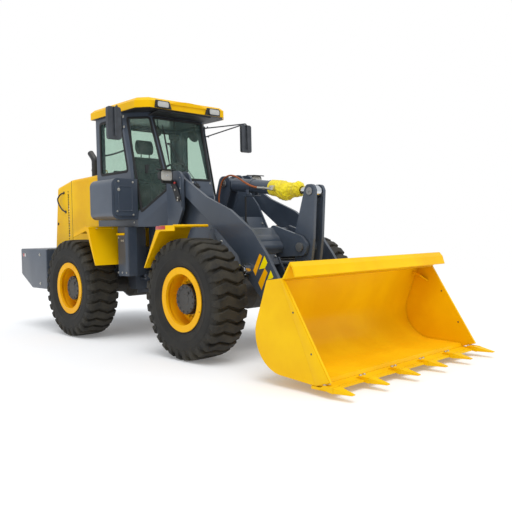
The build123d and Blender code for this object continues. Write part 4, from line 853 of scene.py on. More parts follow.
# ---------------------------------------------------------------- wheels
@dataclass
class Wheel:
    """One wheel: a lugged tyre that stands for its plain solid, hub cover, nuts and valve."""

    axle: str = "front"
    side: str = "left"
    sign: int = 1
    radius: float = 0.674
    front_x: float = 0.92
    rear_x: float = -1.68
    centre: float = 0.925
    lugs: int = 30
    steps: int = 120
    nuts: int = 20
    nut_circle: float = 0.205
    disc_face: float = 0.040
    hub_face: float = 0.125
    # half of the carcass from the crown to the bead: (across, radius)
    carcass: Sequence[Flat] = ((0.0, 0.640), (0.100, 0.639), (0.150, 0.636), (0.185, 0.626), (0.204, 0.604),
                               (0.213, 0.572), (0.2165, 0.545), (0.2195, 0.540), (0.2205, 0.520),
                               (0.2205, 0.486), (0.2185, 0.462), (0.2205, 0.456), (0.2185, 0.449),
                               (0.208, 0.418), (0.200, 0.402), (0.2005, 0.397), (0.193, 0.384),
                               (0.184, 0.372), (0.178, 0.364), (0.178, 0.329))
    # half of a lug from the crown outwards: (across, radius, across and radius of its foot, half width, lead)
    lug: Sequence[tuple[float, ...]] = (
        (0.0, 0.674, 0.0, 0.634, 0.050, 0.0), (0.070, 0.6738, 0.070, 0.634, 0.050, -0.027),
        (0.082, 0.6736, 0.080, 0.633, 0.050, -0.029), (0.145, 0.671, 0.136, 0.630, 0.050, -0.006),
        (0.190, 0.665, 0.166, 0.622, 0.047, 0.0), (0.196, 0.661, 0.172, 0.619, 0.045, 0.0),
        (0.215, 0.636, 0.186, 0.612, 0.036, 0.0), (0.2205, 0.628, 0.188, 0.606, 0.035, 0.0),
        (0.2220, 0.596, 0.190, 0.588, 0.032, 0.0), (0.2195, 0.560, 0.204, 0.560, 0.029, 0.0))
    chamfer: float = 0.007

    @property
    def name(self) -> str:
        """Give the wheel's body."""
        return f"wheel_{self.axle}_{self.side}"

    def spot(self, across: float, radius: float, turn: float) -> Vector:
        """Give a point of the wheel.

        Args:
            across: distance outwards from the tyre's middle plane.
            radius: distance from the axle.
            turn: the angle round it.

        Returns:
            The point.
        """
        x = self.front_x if self.axle == "front" else self.rear_x
        return Vector((x + radius * math.sin(turn), self.sign * (self.centre + across),
                       self.radius + radius * math.cos(turn)))

    def tyre(self, start: float) -> None:
        """Build the tyre.

        Args:
            start: the first lug's angle.
        """
        form = Form()
        half = list(self.carcass)
        profile = [(-a, r) for a, r in reversed(half)] + half[1:]
        turns = full_turn(self.steps)
        form.loft([[self.spot(a, r, t) for t in turns] for a, r in profile], caps=False, around=True)
        stations = [(-a, r, -fa, fr, w, -lead)
                    for a, r, fa, fr, w, lead in reversed(self.lug[1:])] + list(self.lug)
        for i in range(self.lugs):
            middle = start + 2 * math.pi * i / self.lugs
            form.loft([self._slice(station, middle) for station in stations])
        piece = form.place(f"tyre_{self.axle}_{self.side}_lugged", self.name, Finish.TYRE, 26.0)
        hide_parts(f"tyre_{self.axle}_{self.side}")

    def _slice(self, station: Sequence[float], middle: float) -> list[Vector]:
        """Give a lug's cross-section.

        Args:
            station: its place and size.
            middle: the lug's angle.

        Returns:
            Six points round the section.
        """
        across, radius, foot_across, foot_radius, width, lead = station
        side_across = across + (foot_across - across) * 0.16
        side_radius = radius + (foot_radius - radius) * 0.16
        ring = ((foot_across, foot_radius, -width - 0.008), (side_across, side_radius, -width),
                (across, radius, self.chamfer - width), (across, radius, width - self.chamfer),
                (side_across, side_radius, width), (foot_across, foot_radius, width + 0.008))
        return [self.spot(a, r, middle + (lead + t) / self.radius) for a, r, t in ring]

    def hub(self) -> None:
        """Build the hub's cover with its screws and plug, the wheel nuts and the valve."""
        x = self.front_x if self.axle == "front" else self.rear_x
        out = (0, self.sign, 0)
        middle = (x, self.sign * self.centre, self.radius)
        cover = Form()
        cover.lathe([(0.052, 0.150), (0.052, 0.172), (0.066, 0.172), (0.070, 0.168), (0.070, 0.158),
                     (0.1, 0.1545), (0.112, 0.1545), (0.116, 0.160), (0.131, 0.160), (0.135, 0.156),
                     (0.135, 0.122), (0.130, 0.118), (0.130, 0.060), (0.134, 0.056), (0.134, 0.0)], middle,
                     out, 64, caps=False)
        for i in range(12):
            turn = 2 * math.pi * (i + 0.5) / 12
            cover.bolt(self.spot(self.hub_face + 0.010, 0.139, turn), out, 0.0095, 0.009)
        for i in range(24):
            turn = 2 * math.pi * i / 24
            cover.lathe([(0.112, 0.009), (0.132, 0.009)], self.spot(0, 0.158, turn), out, 8)
        cover.bolt(self.spot(self.hub_face + 0.005, 0.085, 0.6), out, 0.016, 0.012)
        cover.place(f"hub_cover_{self.axle}_{self.side}", self.name, Finish.BLACK)
        nuts = Form()
        for i in range(self.nuts):
            turn = 2 * math.pi * (i + 0.5) / self.nuts
            seat = self.spot(self.disc_face, self.nut_circle, turn)
            nuts.bolt(seat, out, 0.0165, 0.016)
            nuts.lathe([(0.016, 0.0095), (0.032, 0.0095), (0.034, 0.008)], seat, out, 10)
        nuts.place(f"wheel_nuts_{self.axle}_{self.side}", self.name, Finish.YELLOW)
        valve = Form()
        valve.lathe([(0, 0.006), (0.012, 0.006), (0.013, 0.004), (0.03, 0.004), (0.031, 0.0055),
                     (0.04, 0.0055)],
                    self.spot(0.132, 0.285, 2.3), out, 12)
        valve.lathe([(0, 0.0065), (0.002, 0.0065)], self.spot(0.1915, 0.338, 1.9), out, 12)
        valve.place(f"valve_{self.axle}_{self.side}", self.name, Finish.PLASTIC)

    def build(self, start: float) -> None:
        """Build the wheel's pieces."""
        self.tyre(start)
        self.hub()


@dataclass
class Wheels:
    """The four wheels."""

    seed: int = 7

    def build(self) -> None:
        """Build each wheel with its lugs at a turn of its own."""
        chance = random.Random(self.seed)
        for axle in ("front", "rear"):
            for side, sign in SIDES:
                Wheel(axle, side, sign).build(chance.uniform(0, 2 * math.pi))


# ---------------------------------------------------------------- bucket
@dataclass
class Bucket:
    """Side cutters, corner plates and tooth bolts of the bucket."""

    half: float = 1.241
    plate: float = 0.007
    # side cutter outline, top corner first
    cutter: Sequence[Flat] = ((2.590, 0.978), (3.118, 0.131), (2.972, 0.086), (2.571, 0.973))
    teeth: int = 6
    tooth_x: float = 3.062
    tooth_top: float = 0.105

    def cutters(self) -> None:
        """Lay a tapered plate with two holes on each side, each hole a black disc of painted shade."""
        form = Form()
        marks = Form()
        for _, side in SIDES:
            low, high = flank(side, self.half, self.half + self.plate)
            form.plate(self.cutter, low, high, 0.0025)
            for share in (0.32, 0.72):
                x = self.cutter[0][0] + (self.cutter[1][0] - self.cutter[0][0]) * share - 0.03 - share * 0.02
                z = self.cutter[0][1] + (self.cutter[1][1] - self.cutter[0][1]) * share - 0.02
                at = (x, side * (self.half + self.plate), z)
                # painted shade: black discs on the outer and the inner face stand for the shade inside each
                # hole
                marks.lathe([(0.0, 0.009), (0.0008, 0.009)], at, (0, side, 0), 16)
                inside = (x, side * (self.half - 0.0252), z)
                marks.lathe([(0.0, 0.009), (0.0008, 0.009)], inside, (0, -side, 0), 16)
        form.place("side_cutters", "bucket", Finish.BUCKET)
        marks.place("cutter_hole_shade", "bucket", Finish.BLACK)

    def corners(self) -> None:
        """Put a folded plate in each upper corner."""
        form = Form()
        for _, side in SIDES:
            y = side * (self.half - 0.025)
            away = side * (self.half - 0.135)
            form.loft([[Vector((2.470, y, 0.845)), Vector((2.560, y, 0.800)), Vector((2.548, y, 0.786)),
                        Vector((2.458, y, 0.831))],
                       [Vector((2.430, away, 0.905)), Vector((2.520, away, 0.870)),
                        Vector((2.508, away, 0.856)), Vector((2.418, away, 0.891))]])
        form.place("corner_plates", "bucket", Finish.BUCKET)

    def bolts(self) -> None:
        """Put two bolts on each tooth."""
        form = Form()
        run = 2 * self.half - 0.062
        for i in range(self.teeth):
            y = -self.half + 0.031 + run * i / (self.teeth - 1)
            for step in (-0.026, 0.026):
                form.bolt((self.tooth_x, y + step, self.tooth_top - 0.001), UP, 0.013, 0.011)
        form.place("tooth_bolts", "bucket", Finish.ZINC)

    def build(self) -> None:
        """Build the bucket's pieces."""
        self.cutters()
        self.corners()
        self.bolts()


# ---------------------------------------------------------------- boom and linkage
@dataclass
class Boom:
    """Painted stripes of the boom, and pin ends of the crank."""

    outer: float = 0.550
    # corners of the stripes on the arms: amber, then lemon
    amber: Sequence[Sequence[Flat]] = (((1.588, 1.164), (1.627, 1.138), (1.516, 0.923), (1.480, 0.983)),
                                       ((1.662, 1.010), (1.705, 0.962), (1.606, 0.772), (1.557, 0.850)))
    lemon: Sequence[Sequence[Flat]] = (((1.662, 1.142), (1.705, 1.068), (1.665, 1.009), (1.573, 0.995)),
                                       ((1.751, 0.990), (1.790, 0.922), (1.774, 0.905), (1.696, 0.885)))
    crank_pin: Flat = (1.800, 1.224)
    crank_top: Flat = (1.905, 1.830)

    def stripes(self) -> None:
        """Lay the stripes on both arms."""
        for name, finish, shapes in (("amber", Finish.AMBER, self.amber),
                                     ("lemon", Finish.LEMON, self.lemon)):
            form = Form()
            for shape in shapes:
                for _, side in SIDES:
                    low, high = flank(side, self.outer, self.outer + 0.0012)
                    form.plate(shape, low, high, 0.0)
            form.place(f"stripes_{name}", "boom", finish)

    def pin_ends(self) -> None:
        """Close each pin with a plate and its screws."""
        form = Form()
        for _, side in SIDES:
            out = (0, side, 0)
            at = (self.crank_top[0], side * 0.091, self.crank_top[1])
            form.lathe([(0, 0.043), (0.008, 0.043), (0.010, 0.040)], at, out, 32)
            form.bolt((at[0], at[1] + side * 0.009, at[2]), out, 0.011, 0.009)
        form.place("crank_top_caps", "bell_crank", Finish.STEEL)
        form = Form()
        for _, side in SIDES:
            out = (0, side, 0)
            at = (self.crank_pin[0], side * 0.139, self.crank_pin[1])
            form.lathe([(0, 0.050), (0.006, 0.050), (0.008, 0.047), (0.008, 0.020), (0.003, 0.018)], at, out,
                       36)
        form.place("crank_pin_rings", "crank_pin", Finish.STEEL)

    def build(self) -> None:
        """Build the boom's pieces."""
        self.stripes()
        self.pin_ends()


@dataclass
class TiltCylinder:
    """Cloth wrap, gland, hose with its fitting, strap and strut of the tilt cylinder."""

    rear: Flat = (0.490, 2.010)
    top: Flat = (1.905, 1.830)
    radius: float = 0.080
    wrap_start: float = 0.768
    wrap_end: float = 1.238
    around: int = 96
    along: int = 96
    # wrap's radius along it: (share of its length, radius, droop)
    bag: Sequence[tuple[float, float, float]] = (
        (0.0, 0.089, 0.0), (0.02, 0.094, 0.0), (0.20, 0.096, 0.002), (0.225, 0.088, 0.002),
        (0.26, 0.098, 0.008), (0.42, 0.104, 0.022), (0.55, 0.098, 0.026), (0.66, 0.080, 0.014),
        (0.74, 0.074, 0.004), (0.86, 0.082, -0.008), (0.93, 0.078, -0.010), (0.985, 0.060, -0.006),
        (1.0, 0.046, 0.0))
    hose_points: Sequence[Point] = ((0.520, -0.150, 1.560), (0.440, -0.150, 1.760), (0.455, -0.135, 1.930),
                                    (0.500, -0.125, 2.060), (0.620, -0.120, 2.108), (0.760, -0.118, 2.078),
                                    (0.900, -0.110, 1.990), (1.040, -0.100, 1.930), (1.130, -0.097, 1.9175))
    hose_radius: float = 0.011

    def spot(self, along: float, lift: float = 0.0, y: float = 0.0) -> Vector:
        """Give a point by its distance along the cylinder's axis and above it."""
        run = Vector((self.top[0] - self.rear[0], 0, self.top[1] - self.rear[1])).normalized()
        up = Vector((-run.z, 0, run.x))
        return Vector((self.rear[0], y, self.rear[1])) + run * along + up * lift

    def crumpled(self, share: float, turn: float) -> tuple[float, float]:
        """Give the wrap's radius and droop at a share of its length and a turn round it."""
        for (near, r_near, d_near), (far, r_far, d_far) in zip(self.bag, self.bag[1:]):
            if share <= far:
                step = (share - near) / (far - near)
                step = step * step * (3 - 2 * step)
                radius = r_near + (r_far - r_near) * step
                droop = d_near + (d_far - d_near) * step
                break
        loose = min(1.0, max(0.0, (share - 0.21) / 0.1)) * min(1.0, max(0.0, (1.0 - share) / 0.05))
        at = Vector((share * 5.2 + turn * 0.35, math.cos(turn) * 1.3, math.sin(turn) * 1.3))
        fold = 1.0 - abs(noise.noise(at * 1.6)) * 2.6
        crease = 1.0 - abs(noise.noise(at * 4.1 + Vector((7, 3, 1)))) * 2.4
        ripple = math.sin(share * 88 + turn * 3 + 3 * noise.noise(at)) * 0.0012
        radius += (0.008 * fold + 0.0045 * crease) * loose + ripple * (1 - loose * 0.4)
        return max(radius, 0.0425), droop

    def wrap(self) -> None:
        """Gather a cloth sleeve round the rod."""
        form = Form()
        length = self.wrap_end - self.wrap_start
        rings = []
        for i in range(self.along + 1):
            share = i / self.along
            ring = []
            for k in range(self.around):
                turn = 2 * math.pi * k / self.around
                radius, droop = self.crumpled(share, turn)
                lift = radius * math.cos(turn) - droop
                ring.append(self.spot(self.wrap_start + share * length, lift, radius * math.sin(turn)))
            rings.append(ring)
        form.loft(rings, caps=False)
        piece = form.place("tilt_rod_wrap", "tilt_rod", Finish.WRAP, 75.0)
        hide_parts("tilt_wrap")
        ties = Form()
        for share in (0.215, 0.70):
            ring = []
            for k in range(49):
                turn = 2 * math.pi * k / 48
                radius, droop = self.crumpled(share, turn)
                lift = (radius + 0.0005) * math.cos(turn) - droop
                lean = 0.012 * math.sin(turn)
                ring.append(self.spot(self.wrap_start + share * length + lean, lift,
                                      (radius + 0.0005) * math.sin(turn)))
            ties.pipe(ring, 0.003, 6)
        ties.place("tilt_wrap_ties", "tilt_rod", Finish.WRAP)

    def hose(self) -> None:
        """Run the hose from the frame over the barrel to its steel fitting."""
        path = smooth_path(self.hose_points, 3, 12)
        form = Form().pipe(path, self.hose_radius, 14)
        start, end = path[0], path[-1]
        piece = form.span("tilt_hose", ("front_body", "tilt_barrel"),
                          (as_point(start), (0.620, -0.120, 2.108)), Finish.BRAID)
        fitting = Form()
        run = (self.spot(1.0) - self.spot(0.0)).normalized()
        for start_at, profile in ((0.0, ((-0.030, 0.0135), (0.060, 0.0135), (0.062, 0.012))),
                                  (0.062, ((0.0, 0.018), (0.026, 0.018))), (0.088,
                                                                            ((0.0, 0.013), (0.150, 0.013))),
                                  (0.238, ((0.0, 0.024), (0.030, 0.024)))):
            fitting.lathe(profile, end + run * start_at, run, 6 if profile[0][1] > 0.015 else 20)
        fitting.block((1.345, -0.150, 1.870), (1.400, -0.070, 1.925), 0.006)
        for z in (1.884, 1.911):
            fitting.bolt((1.373, -0.150, z), (0, -1, 0), 0.009, 0.008)
        fitting.place("tilt_hose_fitting", "tilt_barrel", Finish.ZINC)

    def barrel(self) -> None:
        """Put the gland, the strap with its lugs and the base weld on the barrel."""
        form = Form()
        run = as_point(self.spot(1.0) - self.spot(0.0))
        for first, profile in ((0.118, ((0, 0.083), (0.004, 0.086), (0.014, 0.083), (0.018, 0.0805))),
                               (0.405, ((0, 0.0815), (0, 0.0855), (0.05, 0.0855), (0.05, 0.0815))),
                               (0.735, ((0, 0.081), (0.002, 0.087), (0.036, 0.087), (0.038, 0.081)))):
            form.lathe(profile, self.spot(first), run, 48, caps=False)
        for side in (-1, 1):
            low = self.spot(0.405, -0.118, side * 0.075)
            form.block((low.x, low.y - 0.008, low.z), (low.x + 0.05, low.y + 0.008, low.z + 0.070), 0.003)
            form.bolt((low.x + 0.025, low.y + side * 0.008, low.z + 0.02), (0, side, 0), 0.010, 0.009)
        low = self.spot(0.405, -0.118)
        form.block((low.x - 0.045, -0.083, low.z - 0.008), (low.x + 0.095, 0.083, low.z + 0.004), 0.003)
        form.place("tilt_barrel_fittings", "tilt_barrel", Finish.GREY)
        strut = Form()
        strut.pipe([(0.815, -0.03, 1.503), (0.812, -0.03, 1.560), (0.815, -0.03, 1.830)], 0.011, 12)
        strut.lathe([(0, 0.022), (0.018, 0.022), (0.020, 0.019)], (0.815, -0.03, 1.4905), UP, 6)
        strut.place("tilt_stop_strut", "front_body", Finish.PLASTIC)
        caps = Form()
        for _, side in SIDES:
            at = (self.rear[0], side * 0.100, self.rear[1])
            caps.lathe([(0, 0.046), (0.006, 0.046), (0.009, 0.042)], at, (0, side, 0), 36)
            caps.bolt((at[0], side * 0.109, at[2]), (0, side, 0), 0.015, 0.010)
        caps.place("tilt_pin_caps", "front_body", Finish.STEEL)

    def build(self) -> None:
        """Build the cylinder's pieces."""
        self.wrap()
        self.hose()
        self.barrel()


@dataclass
class LiftCylinders:
    """Glands, cloth wraps and hose lines of the lift cylinders."""

    rear: Flat = (-0.030, 0.960)
    front: Flat = (1.407, 0.989)
    across: float = 0.610
    barrel_end: float = 1.300

    def spot(self, along: float, lift: float = 0.0, y: float = 0.0) -> Vector:
        """Give a point by its distance along the cylinder's axis and above it."""
        run = Vector((self.front[0] - self.rear[0], 0, self.front[1] - self.rear[1])).normalized()
        return Vector((self.rear[0], y, self.rear[1])) + run * along + Vector((-run.z, 0, run.x)) * lift

    def build(self) -> None:
        """Build the cylinders' pieces."""
        run = as_point(self.spot(1.0) - self.spot(0.0))
        glands = Form()
        lines = Form()
        caps = Form()
        for _, side in SIDES:
            y = side * self.across
            glands.lathe([(0.0, 0.0505), (0.002, 0.056), (0.040, 0.056), (0.042, 0.052), (0.058, 0.052),
                          (0.060, 0.030)],
                         self.spot(self.barrel_end - 0.055, 0, y), run, 40, caps=False)
            glands.lathe([(0, 0.0505), (0.003, 0.055), (0.012, 0.0505)], self.spot(0.058, 0, y), run, 40,
                         caps=False)
            lines.pipe([self.spot(a, b, y) for a, b in ((0.10, 0.046), (0.10, 0.064), (0.125, 0.068),
                                                        (1.19, 0.068), (1.215, 0.064), (1.215, 0.046))],
                                                        0.007, 10)
            for first in (0.35, 0.75, 1.10):
                lines.lathe([(0, 0.0505), (0.0, 0.053), (0.022, 0.053), (0.022, 0.0505)],
                            self.spot(first, 0, y), run, 40, caps=False)
            at = (self.front[0], side * (self.across + 0.048), self.front[1])
            caps.lathe([(0, 0.050), (0.010, 0.050), (0.013, 0.046), (0.013, 0.016), (0.008, 0.014)], at,
                       (0, side, 0), 36)
            at = (self.rear[0], side * (self.across + 0.052), self.rear[1])
            caps.lathe([(0, 0.030), (0.006, 0.030), (0.008, 0.026)], at, (0, side, 0), 30)
        glands.place("lift_glands", "lift_barrel", Finish.GREY)
        lines.place("lift_lines", "lift_barrel", Finish.STEEL)
        caps.place("lift_pin_caps", "lift_rod", Finish.BLACK)
        cloth = Form()
        for _, side in SIDES:
            rings = []
            for i in range(29):
                share = i / 28
                swell = 0.034 + 0.020 * math.sin(math.pi * share) ** 0.6
                ring = []
                for k in range(40):
                    turn = 2 * math.pi * k / 40
                    fold = 1.0 - 2.4 * abs(noise.noise(Vector((share * 3, math.cos(turn) * 1.6,
                                                               math.sin(turn) * 1.6 + side))))
                    radius = max(0.031, swell + 0.006 * fold * math.sin(math.pi * share))
                    ring.append(self.spot(self.barrel_end + 0.012 + 0.062 * share, radius * math.cos(turn),
                                          side * self.across + radius * math.sin(turn)))
                rings.append(ring)
            cloth.loft(rings, caps=False)
        cloth.place("lift_rod_wraps", "lift_rod", Finish.WRAP, 75.0)


# ---------------------------------------------------------------- front frame, cab and rear
@dataclass
class FrontFrame:
    """Lamps, caps, bolts, reflectors, nose ribs and hoses of the front frame."""

    pivot: Flat = (0.120, 2.020)
    tower_face: float = 0.600
    lamp: Point = (0.185, 0.750, 2.105)
    fender_face: float = 1.170

    def towers(self) -> None:
        """Close the boom's pivots, and put bolts and an edge bar on the towers."""
        form = Form()
        bolts = Form()
        for _, side in SIDES:
            out = (0, side, 0)
            at = (self.pivot[0], side * (self.tower_face + 0.012), self.pivot[1])
            form.lathe([(0, 0.056), (0.004, 0.056), (0.007, 0.052)], at, out, 40)
            form.lathe([(0.007, 0.020), (0.020, 0.020), (0.022, 0.017)], at, out, 24)
            for i in range(3):
                turn = 2 * math.pi * i / 3 + 0.4
                spot = (at[0] + 0.038 * math.cos(turn), at[1] + side * 0.007, at[2] + 0.038 * math.sin(turn))
                bolts.bolt(spot, out, 0.009, 0.007)
            face = side * self.tower_face
            low, high = sorted((face, face + side * 0.012))
            form.plate([(0.265, 1.760), (0.290, 1.720), (0.286, 2.100), (0.262, 2.120)], low, high, 0.003)
            for z in (1.80, 1.95, 2.08):
                bolts.bolt((0.275, face + side * 0.012, z), out, 0.008, 0.006, False)
        form.place("tower_caps", "front_body", Finish.GREY)
        bolts.place("tower_bolts", "front_body", Finish.ZINC)

    def lamps(self) -> None:
        """Dress the work lamps with a rim, a reflector, a bulb, a lens, a bracket and a small side light."""
        rim = Form()
        glass = Form()
        bulbs = Form()
        arms = Form()
        red = Form()
        screws = Form()
        for _, side in SIDES:
            x, y, z = self.lamp[0], side * self.lamp[1], self.lamp[2]
            rim.pad((x, y, z), ((0.000, 0.184, 0.144, 0.042), (0.014, 0.182, 0.142, 0.041),
                                (0.017, 0.176, 0.136, 0.038), (0.016, 0.166, 0.126, 0.034),
                                (0.006, 0.164, 0.124, 0.034)), caps=False)
            glass.pad((x, y, z), ((0.0085, 0.164, 0.124, 0.034), (0.014, 0.160, 0.120, 0.034),
                                  (0.020, 0.130, 0.092, 0.030), (0.0225, 0.070, 0.045, 0.015)))
            bulbs.lathe([(0.0225, 0.011), (0.0245, 0.011), (0.0265, 0.006)], (x, y, z), AHEAD, 20)
            for turn in (-0.045, 0.045):
                bulbs.lathe([(0.0185, 0.020), (0.0200, 0.020), (0.0215, 0.012)], (x - 0.0015, y + turn, z),
                            AHEAD, 24)
            # visor lip
            rim.prism([(x + 0.055, y - 0.105, z + 0.064), (x + 0.075, y - 0.085, z + 0.058),
                       (x + 0.075, y + 0.085, z + 0.058), (x + 0.055, y + 0.105, z + 0.064),
                       (x - 0.075, y + 0.105, z + 0.076), (x - 0.075, y - 0.105, z + 0.076)], (0, 0, 0.008),
                       0.003)
            low, high = sorted((y - side * 0.122, y - side * 0.110))
            arms.plate([(x - 0.085, z - 0.052), (x - 0.010, z - 0.048), (x + 0.030, z - 0.110),
                        (x + 0.062, z - 0.150), (x + 0.120, z - 0.262), (x + 0.108, z - 0.312),
                        (x + 0.045, z - 0.318), (x + 0.020, z - 0.270), (x + 0.000, z - 0.200),
                        (x - 0.040, z - 0.140)], low, high, 0.003)
            face = high if side > 0 else low
            for dx, dz in ((-0.045, -0.075), (0.020, -0.170), (0.078, -0.268), (0.070, -0.298)):
                screws.bolt((x + dx, face, z + dz), (0, side, 0), 0.009, 0.007)
            red.lathe([(0, 0.016), (0.010, 0.016), (0.016, 0.011), (0.018, 0.004)],
                      (x + 0.010, side * 0.628, z - 0.085), (0, side, 0), 24)
            arms.lathe([(0, 0.020), (0.006, 0.020)], (x + 0.010, side * 0.6205, z - 0.085), (0, side, 0), 24)
        rim.place("work_lamp_rims", "front_body", Finish.PLASTIC)
        glass.place("work_lamp_lenses", "front_body", Finish.LAMP)
        bulbs.place("work_lamp_bulbs", "front_body", Finish.CHROME)
        arms.place("work_lamp_arms", "front_body", Finish.PLASTIC)
        red.place("side_lights", "front_body", Finish.RED)
        screws.place("work_lamp_screws", "front_body", Finish.ZINC)

    def fenders(self) -> None:
        """Put a reflector, an edge bead and bracket bolts on the fenders."""
        marks = Form()
        bolts = Form()
        bead = Form()
        for _, side in SIDES:
            low, high = flank(side, self.fender_face, self.fender_face + 0.003)
            marks.plate([(0.548, 1.447), (0.560, 1.487), (0.735, 1.487), (0.735, 1.447)], low, high, 0.0012)
            for x in (0.70, 0.84):
                for y in (0.78, 0.98):
                    bolts.bolt((x, side * y, 1.490), UP, 0.010, 0.007)
            bead.pipe([(0.882, side * 0.700, 1.474), (0.884, side * 0.710, 1.4745),
                       (0.884, side * 1.165, 1.4745)],
                      0.009, 10)
        marks.place("fender_reflectors", "front_body", Finish.RED)
        bolts.place("fender_bolts", "front_body", Finish.ZINC)
        bead.place("fender_beads", "front_body", Finish.YELLOW)

    def nose(self) -> None:
        """Fold ribs into the sloped nose cover, and bolt its side gussets."""
        line = ((0.930, 0.990), (0.800, 1.232), (0.690, 1.452), (0.612, 1.588))
        form = Form()
        bolts = Form()
        for _, side in SIDES:
            rings = []
            for (x, z), width in zip(line, (0.115, 0.105, 0.090, 0.080)):
                y = side * width * 1.6
                rings.append([Vector((x - 0.004, y - 0.030, z - 0.003)),
                              Vector((x + 0.022, y - 0.014, z + 0.012)),
                              Vector((x + 0.022, y + 0.014, z + 0.012)), Vector((x - 0.004, y + 0.030,
                                                                                 z - 0.003))])
            form.loft(rings)
            for share in (0.15, 0.5, 0.85):
                x = line[0][0] + (line[3][0] - line[0][0]) * share + 0.006
                z = line[0][1] + (line[3][1] - line[0][1]) * share + 0.012
                bolts.bolt((x, side * 0.395, z), (0.88, 0, 0.47), 0.010, 0.008)
            low, high = flank(side, 0.461, 0.470)
            form.plate([(0.640, 1.300), (0.905, 1.060), (0.915, 1.130), (0.720, 1.420), (0.640, 1.440)], low,
                       high, 0.003)
            bolts.bolt((0.760, side * 0.470, 1.285), (0, side, 0), 0.014, 0.010)
        form.place("nose_ribs", "front_body", Finish.GREY)
        bolts.place("nose_bolts", "front_body", Finish.ZINC)

    def shelf(self) -> None:
        """Fold the flange of the tilt shelf and run the pipes behind the nose."""
        form = Form()
        form.block((0.030, -0.434, 1.470), (0.590, 0.434, 1.482), 0.003)
        form.block((0.578, -0.434, 1.430), (0.590, 0.434, 1.482), 0.003)
        form.place("tilt_shelf", "front_body", Finish.GREY)
        pipes = Form()
        for i, y in enumerate((-0.29, -0.24, -0.19, 0.19, 0.24, 0.29)):
            pipes.pipe(smooth_path([(0.012, y, 1.36), (0.060, y, 1.36), (0.120 + 0.02 * i, y, 1.40),
                                    (0.150 + 0.02 * i, y * 0.9, 1.55), (0.30, y * 0.62, 1.66),
                                    (0.40, y * 0.5, 1.60), (0.42, y * 0.5, 1.49)]), 0.010, 10)
        pipes.place("front_pipes", "front_body", Finish.HOSE)

    def hoses(self) -> None:
        """Hang four hoses over the articulation."""
        for name, side in (("right_low", -1), ("right_high", -1), ("left_low", 1), ("left_high", 1)):
            high = name.endswith("high")
            z = 1.020 if high else 0.950
            y = side * (0.120 if high else 0.150)
            points = [(-0.700, y, z), (-0.600, y, z + 0.008), (-0.480, y * 1.10, z - 0.030),
                      (-0.330, y * 1.12, z - 0.038), (-0.200, y * 1.06, z - 0.010), (-0.101, y, z)]
            path = smooth_path(points, 3, 8)
            form = Form().pipe(path, 0.013, 12)
            piece = form.span(f"pivot_hose_{name}", ("rear_body", "front_body"),
                              ((-0.70, 0, z), (-0.14, 0, z)), Finish.HOSE)

    def build(self) -> None:
        """Build the frame's pieces."""
        self.towers()
        self.lamps()
        self.fenders()
        self.nose()
        self.shelf()
        self.hoses()


